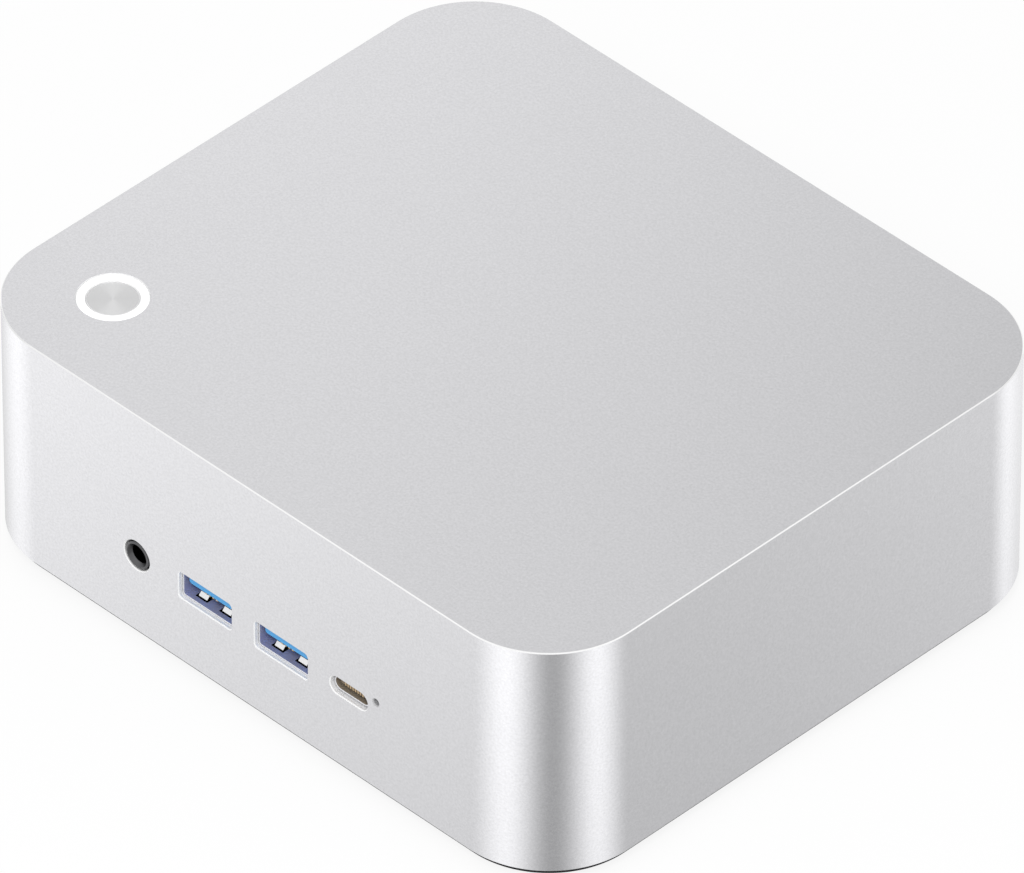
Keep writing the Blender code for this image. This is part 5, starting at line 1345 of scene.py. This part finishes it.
@dataclass
class RearSockets:
    """Network, video and power sockets behind the rear panel."""

    def build(self) -> None:
        """Makes each socket."""
        for number in (1, 2):
            self.network(f"network_socket_{number}")
        self.video()
        self.inlet()

    def network(self, node: str) -> None:
        """Makes one network socket with its row of contacts.

        Args:
            node: The CAD node.
        """
        low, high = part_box(node)
        size = high - low
        matrix = SocketPlace.of(node, Side.REAR, size.z).matrix()
        shape = rounded(size.x, size.z, COVER_EDGE, MOUTH_STEPS)
        face = rounded(size.x - COVER_EDGE, size.z - COVER_EDGE, COVER_EDGE, MOUTH_STEPS)
        block = Shape().loft([upright(face, 0.0), upright(shape, COVER_EDGE / 2), upright(shape, size.y)])
        piece = Piece(f"{node}_case", (STEEL, DARK, GOLD), stands_for=(node,)).make(block.moved(matrix))
        half, tall = NETWORK_PLUG[0] / 2, NETWORK_PLUG[1]
        latch, step = NETWORK_LATCH[0] / 2, NETWORK_LATCH[1]
        top = size.z / 2 - NETWORK_ROOF
        floor = top - tall
        outline = [(half, floor), (half, top), (-half, top), (-half, floor), (-latch, floor),
                   (-latch, floor - step), (latch, floor - step), (latch, floor)]
        piece.carve(Shape().loft([upright(outline, -PAST), upright(outline, NETWORK_DEPTH)],
                                 look=SECOND).moved(matrix))
        wires = Shape()
        for index in range(NETWORK_CONTACTS):
            x = (index - (NETWORK_CONTACTS - 1) / 2) * NETWORK_CONTACT_PITCH
            half = NETWORK_CONTACT_WIDTH / 2
            line = [(y, top + rise) for y, rise in NETWORK_CONTACT_LINE]
            wires.loft([sideways(line, x - half), sideways(line, x + half)], look=THIRD)
        piece.add(wires.moved(matrix))
        piece.done()

    def video(self) -> None:
        """Makes the video socket and its tongue."""
        low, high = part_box("video_shell")
        length = high.y - low.y
        tall = VIDEO_HEIGHT + 2 * VIDEO_SHELL
        matrix = SocketPlace.of("video_shell", Side.REAR, tall).matrix()
        wide = VIDEO_WIDTH + 2 * VIDEO_SHELL
        cavity = video_outline(VIDEO_WIDTH, VIDEO_HEIGHT, VIDEO_CUT)
        rim = video_outline(wide, tall, VIDEO_CUT)
        body = [(x, z + VIDEO_SADDLE / 2) for x, z in video_outline(wide, tall + VIDEO_SADDLE, VIDEO_CUT)]
        back = length - VIDEO_BACK
        shell = Shape().loft([upright(cavity, back), upright(cavity, 0.0), upright(rim, 0.0),
                              upright(rim, VIDEO_COLLAR), upright(body, VIDEO_COLLAR),
                              upright(body, length)])
        Piece("video_case", (STEEL,), stands_for=("video_shell",)).make(shell.moved(matrix)).done()
        tongue_low, tongue_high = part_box("video_tongue")
        width = tongue_high.x - tongue_low.x
        blade = rounded(width, VIDEO_TONGUE_THICKNESS, VIDEO_TONGUE_CORNER, MOUTH_STEPS)
        block = rounded(width, VIDEO_HEIGHT - 2 * COVER_SEAM, BLOCK_CORNER, MOUTH_STEPS)
        shape = tongue_shape(blade, block, (VIDEO_TONGUE_SETBACK, VIDEO_TONGUE_ROOT, back - COVER_SEAM))
        Piece("video_blade", (DARK,), stands_for=("video_tongue",)).make(shape.moved(matrix)).done()

    def inlet(self) -> None:
        """Makes the power inlet with its pin."""
        low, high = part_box("power_inlet")
        size = high - low
        matrix = SocketPlace.of("power_inlet", Side.REAR, size.z).matrix()
        block = rounded(size.x, size.z, COVER_EDGE, MOUTH_STEPS)
        piece = Piece("inlet_case", (DARK, STEEL), stands_for=("power_inlet",)).make(
            Shape().loft([upright(block, 0.0), upright(block, size.y)]).moved(matrix))
        bore = [(INLET_BORE_RADIUS, -PAST), (INLET_BORE_RADIUS, INLET_DEPTH)]
        piece.carve(Shape().turn(bore, ROUND_STEPS, (0.0, 0.0, 0.0), Axis.INWARD).moved(matrix))
        tip = INLET_PIN_RADIUS / 2
        pin = [(tip, INLET_SETBACK), (INLET_PIN_RADIUS, INLET_SETBACK + tip),
               (INLET_PIN_RADIUS, INLET_DEPTH + tip)]
        piece.add(Shape().turn(pin, ROUND_STEPS, (0.0, 0.0, 0.0), Axis.INWARD, look=SECOND).moved(matrix))
        piece.done()


@dataclass
class RearPanel:
    """Black panel with exhaust slots and socket openings."""

    @staticmethod
    def outline(grow: float) -> Outline:
        """Rear window of X and Z, grown by an amount."""
        low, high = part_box("rear_panel")
        width = high.x - low.x - 2 * PANEL_FLANGE
        height = high.z - low.z - 2 * PANEL_FLANGE
        centre = (0.0, (low.z + high.z) / 2)
        return rounded(width + 2 * grow, height + 2 * grow, PANEL_RADIUS + grow, MOUTH_STEPS, centre)

    def build(self) -> None:
        """Makes the panel and its openings."""
        low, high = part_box("rear_panel")
        face = high.y
        flange = low.y + PANEL_FLANGE_THICKNESS
        outline = self.outline
        plate = face - PANEL_THICKNESS
        piece = Piece("exhaust_panel", (BLACK,), stands_for=("rear_panel",)).make(Shape().loft([
            upright(outline(-PANEL_GAP - PANEL_EDGE), face),
            upright(outline(-PANEL_GAP), face - PANEL_EDGE),
            upright(outline(-PANEL_GAP), flange),
            upright(outline(PANEL_FLANGE), flange),
            upright(outline(PANEL_FLANGE), low.y),
            upright(outline(-PANEL_GAP - PANEL_RIM), low.y),
            upright(outline(-PANEL_GAP - PANEL_RIM), plate),
        ]))
        piece.carve(self.slots(face, plate, high.z - PANEL_FLANGE))
        depth = PANEL_THICKNESS + PAST
        for node, height, mouth in self.mouths():
            place = SocketPlace.of(node, Side.REAR, height)
            piece.carve(mouth_tool(mouth, place.x, place.z, face, Side.REAR, depth, 0))
        piece.done()

    def mouths(self) -> list[tuple[str, float, Callable[[float], Outline]]]:
        """Openings for the sockets.

        Returns:
            Node, rim height and growing outline of each.
        """
        inlet_low, inlet_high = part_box("power_inlet")
        network_low, network_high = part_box("network_socket_1")
        network = (network_high.z - network_low.z, rounded_mouth(NETWORK_MOUTH))
        return [
            ("type_a_rear_shell", TYPE_A_HEIGHT + 2 * TYPE_A_SHELL, rounded_mouth(TYPE_A_MOUTH)),
            ("type_c_rear_shell", TYPE_C_HEIGHT + 2 * TYPE_C_SHELL, rounded_mouth(TYPE_C_MOUTH)),
            ("video_shell", VIDEO_HEIGHT + 2 * VIDEO_SHELL, video_mouth),
            ("power_inlet", inlet_high.z - inlet_low.z, round_mouth(INLET_BORE_RADIUS + MOUTH_CHAMFER)),
            ("network_socket_1", *network),
            ("network_socket_2", *network),
        ]

    def slots(self, face: float, plate: float, top: float) -> Shape:
        """Cutters of the exhaust slots.

        Args:
            face: Outer face of the plate.
            plate: Its inner face.
            top: Upper edge of the window.

        Returns:
            The cutters.
        """
        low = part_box("motherboard")[1].z + EXHAUST_LOW
        high = top - EXHAUST_HIGH
        tool = Shape()
        for index in range(EXHAUST_COUNT):
            x = (index - (EXHAUST_COUNT - 1) / 2) * EXHAUST_PITCH
            outline = rounded(EXHAUST_WIDTH, high - low, EXHAUST_WIDTH / 2 - PANEL_EDGE / 4, MOUTH_STEPS,
                              (x, (low + high) / 2))
            tool.loft([upright(outline, plate - PAST), upright(outline, face + PAST)])
        return tool


@dataclass
class Inside:
    """CAD pieces that are shown as they are, with their finishes."""

    finishes: dict[str, Finish] = field(default_factory=lambda: {finish.slot: finish for finish in CARRIED})

    def build(self) -> None:
        """Paints every CAD node that still shows."""
        for part in frame["record"]["subparts"]:
            node = frame["nodes"][part["node"]]
            if node.hide_render:
                continue
            finish = self.finishes[part["material_slot"]]
            node.data.materials.clear()
            node.data.materials.append(Paint.material(finish))
            LOG.info("%s: CAD piece in %s", part["node"], finish.slot)


@dataclass(frozen=True)
class Band:
    """Brightness of the lower card in one direction from the case, in degrees from the front."""

    angle: float
    level: float


@dataclass
class Studio:
    """Camera, floor, light and the pale cards that the metal mirrors."""

    key_power: float = 10.0
    key_size: float = 0.50
    ambient: float = 0.68
    floor_white: float = 0.95
    floor_grain: float = 0.05
    floor_glow: float = 0.88
    edge_level: float = 1.0
    lid_levels: Sequence[Point2] = ((0.15, 0.62), (0.42, 0.875), (0.73, 0.57))
    lid_zone: Sequence[Point2] = ((0.10, 0.0), (0.28, 1.0), (0.70, 1.0), (0.95, 0.0))
    far_zone: Sequence[Point2] = ((0.42, 0.0), (0.65, 1.0))
    far_level: float = 0.84
    lid_middle: float = 0.472
    lid_tilt: float = 0.8
    wall_middle: float = 0.138
    wall_tilt: float = 2.4
    wall_far: float = 0.23
    wall_zone: Sequence[Point2] = ((0.27, 1.0), (0.50, 0.0))
    bands: Sequence[Band] = (
        Band(-180.0, 0.91), Band(-105.0, 0.78), Band(-64.0, 1.12), Band(-40.0, 0.90), Band(-27.0, 0.85),
        Band(9.0, 1.19), Band(49.5, 0.40), Band(88.0, 1.13), Band(121.0, 0.63), Band(132.0, 0.67),
        Band(155.0, 1.07), Band(180.0, 0.91),
    )

    def build(self) -> None:
        """Sets up the whole stage."""
        scene = bpy.context.scene
        scene.view_settings.view_transform = "Standard"
        self.camera()
        self.floor()
        self.lower_card()
        self.upper_card()
        self.world()
        self.key()

    def camera(self) -> None:
        """Places the camera where the photograph was taken from."""
        azimuth = math.radians(CAMERA_AZIMUTH)
        elevation = math.radians(CAMERA_ELEVATION)
        roll = math.radians(CAMERA_ROLL)
        back = Vector((math.sin(azimuth) * math.cos(elevation), -math.cos(azimuth) * math.cos(elevation),
                       math.sin(elevation)))
        right = Vector((0.0, 0.0, 1.0)).cross(back).normalized()
        up = back.cross(right)
        turned_right = math.cos(roll) * right + math.sin(roll) * up
        turned_up = math.cos(roll) * up - math.sin(roll) * right
        lens = bpy.data.cameras.new("camera")
        lens.lens = CAMERA_LENS
        lens.sensor_width = CAMERA_SENSOR
        lens.clip_end = CAMERA_REACH
        holder = bpy.data.objects.new("camera", lens)
        columns = Matrix((turned_right, turned_up, back)).transposed()
        holder.matrix_world = Matrix.Translation(CAMERA_PLACE) @ columns.to_4x4()
        bpy.context.scene.collection.objects.link(holder)
        bpy.context.scene.camera = holder

    def sheet(self, name: str, height: float, reach: float) -> bpy.types.Object:
        """Makes a level square sheet of the stage.

        Args:
            name: Its name.
            height: Its height.
            reach: Half its width.

        Returns:
            The sheet.
        """
        mesh = bmesh.new()
        corners = ((-reach, -reach), (reach, -reach), (reach, reach), (-reach, reach))
        mesh.faces.new([mesh.verts.new((x, y, height)) for x, y in corners])
        data = bpy.data.meshes.new(name)
        mesh.to_mesh(data)
        mesh.free()
        sheet = bpy.data.objects.new(name, data)
        bpy.context.scene.collection.objects.link(sheet)
        return sheet

    def floor(self) -> None:
        """Lays the white floor, which keeps a faint shadow and is clear from below."""
        sheet = self.sheet("floor", -FLOOR_DROP, STAGE_REACH)
        sheet.visible_glossy = False
        material = bpy.data.materials.new("floor")
        material.use_nodes = True
        graph = Graph(material.node_tree)
        grain = graph.noise(graph.place(), self.floor_grain)
        tint = graph.blend(grain, (self.floor_white,) * 3, (1.0,) * 3)
        paper = graph.add("ShaderNodeBsdfDiffuse", None, {"Color": tint})
        glow = graph.add("ShaderNodeEmission", None, {"Color": (1.0, 1.0, 1.0, 1.0), "Strength": 1.0})
        mixed = graph.add("ShaderNodeMixShader", None, {0: self.floor_glow, 1: paper, 2: glow})
        below = graph.add("ShaderNodeNewGeometry", output="Backfacing")
        clear = graph.add("ShaderNodeBsdfTransparent")
        shown = graph.add("ShaderNodeMixShader", None, {0: below, 1: mixed, 2: clear})
        graph.add("ShaderNodeOutputMaterial", None, {"Surface": shown})
        sheet.data.materials.append(material)

    def mirrored_only(self, sheet: bpy.types.Object) -> Graph:
        """Makes a card that only mirroring surfaces see, and starts its material.

        Args:
            sheet: The card.

        Returns:
            Its node tree.
        """
        sheet.visible_camera = False
        sheet.visible_diffuse = False
        sheet.visible_shadow = False
        material = bpy.data.materials.new(sheet.name)
        material.use_nodes = True
        sheet.data.materials.append(material)
        return Graph(material.node_tree)

    def lower_card(self) -> None:
        """Lays the card that the walls mirror, pale with softer and darker bands round the case."""
        sheet = self.sheet("lower_card", -LOWER_CARD_DROP, STAGE_REACH)
        graph = self.mirrored_only(sheet)
        x, y = self.split(graph, graph.place())
        share = x.angle(y * -1.0) * (0.5 / math.pi) + 0.5
        away = x * x + y * y
        near = graph.ramp(away, self.wall_zone)
        tilt = (away.smallest(self.wall_far) - self.wall_middle) * self.wall_tilt
        level = graph.ramp(share, [(band.angle / 360.0 + 0.5, band.level) for band in self.bands])
        level = level * (1.0 + tilt * near)
        glow = graph.add("ShaderNodeEmission", None, {"Color": level, "Strength": 1.0})
        graph.add("ShaderNodeOutputMaterial", None, {"Surface": glow})

    def upper_card(self) -> None:
        """Hangs the card that the lid and its edges mirror, dimmer away from the camera."""
        sheet = self.sheet("upper_card", UPPER_CARD_RISE, STAGE_REACH)
        graph = self.mirrored_only(sheet)
        x, y = self.split(graph, graph.place())
        away = (y - x) * math.sqrt(0.5)
        across = (x + y) * math.sqrt(0.5) + 0.5
        lid = graph.ramp(across, self.lid_levels) * (1.0 + (away - self.lid_middle) * self.lid_tilt)
        zone = graph.ramp(away, self.lid_zone)
        level = graph.blend(zone, (self.edge_level,) * 3, lid)
        far = graph.ramp(x * x + y * y, self.far_zone)
        level = graph.blend(far, level, (self.far_level,) * 3)
        glow = graph.add("ShaderNodeEmission", None, {"Color": level, "Strength": 1.0})
        graph.add("ShaderNodeOutputMaterial", None, {"Surface": glow})

    def split(self, graph: Graph, place: Signal) -> tuple[Signal, Signal]:
        """X and Y of a position."""
        node = graph.add("ShaderNodeSeparateXYZ", None, {"Vector": place}).socket.node
        return Signal(graph, node.outputs["X"]), Signal(graph, node.outputs["Y"])

    def world(self) -> None:
        """Sets a white surround, a little dimmer as light than as background."""
        world = bpy.data.worlds.new("surround")
        bpy.context.scene.world = world
        world.use_nodes = True
        graph = Graph(world.node_tree)
        rays = graph.add("ShaderNodeLightPath").socket.node
        seen = Signal(graph, rays.outputs["Is Camera Ray"]).largest(
            Signal(graph, rays.outputs["Is Glossy Ray"])).largest(
            Signal(graph, rays.outputs["Is Transmission Ray"]))
        level = graph.blend(seen, (self.ambient,) * 3, (1.0,) * 3)
        surround = graph.add("ShaderNodeBackground", None, {"Color": level, "Strength": 1.0})
        graph.add("ShaderNodeOutputWorld", None, {"Surface": surround})

    def key(self) -> None:
        """Hangs one soft lamp above the case. It is not mirrored, so that the metal shows only the cards."""
        lamp = bpy.data.lights.new("key", "AREA")
        lamp.shape = "DISK"
        lamp.size = self.key_size
        lamp.energy = self.key_power
        holder = bpy.data.objects.new("key", lamp)
        holder.location = KEY_PLACE
        holder.visible_glossy = False
        holder.rotation_euler = (-Vector(holder.location)).to_track_quat("-Z", "Y").to_euler()
        bpy.context.scene.collection.objects.link(holder)


def main() -> None:
    """Builds every part of the case and the studio."""
    housing = Housing()
    housing.build()
    BaseCover(housing).build()
    PowerButton().build()
    AudioJack().build()
    for number in (1, 2):
        # The last finish given to each socket is its cavity's painted shade and painted reflection of the
        # tongue.
        TypeASocket(f"type_a_front_{number}", Side.FRONT, BLUE, BLUE_REFLECTION_SHADE).build()
    TypeCSocket("type_c_front", Side.FRONT, BROWN, BROWN_REFLECTION_SHADE).build()
    RearPanel().build()
    TypeASocket("type_a_rear", Side.REAR, BLUE, BLUE_REFLECTION_SHADE).build()
    TypeCSocket("type_c_rear", Side.REAR, BROWN, BROWN_REFLECTION_SHADE).build()
    RearSockets().build()
    Inside().build()
    Studio().build()


if __name__ == "__main__":
    main()
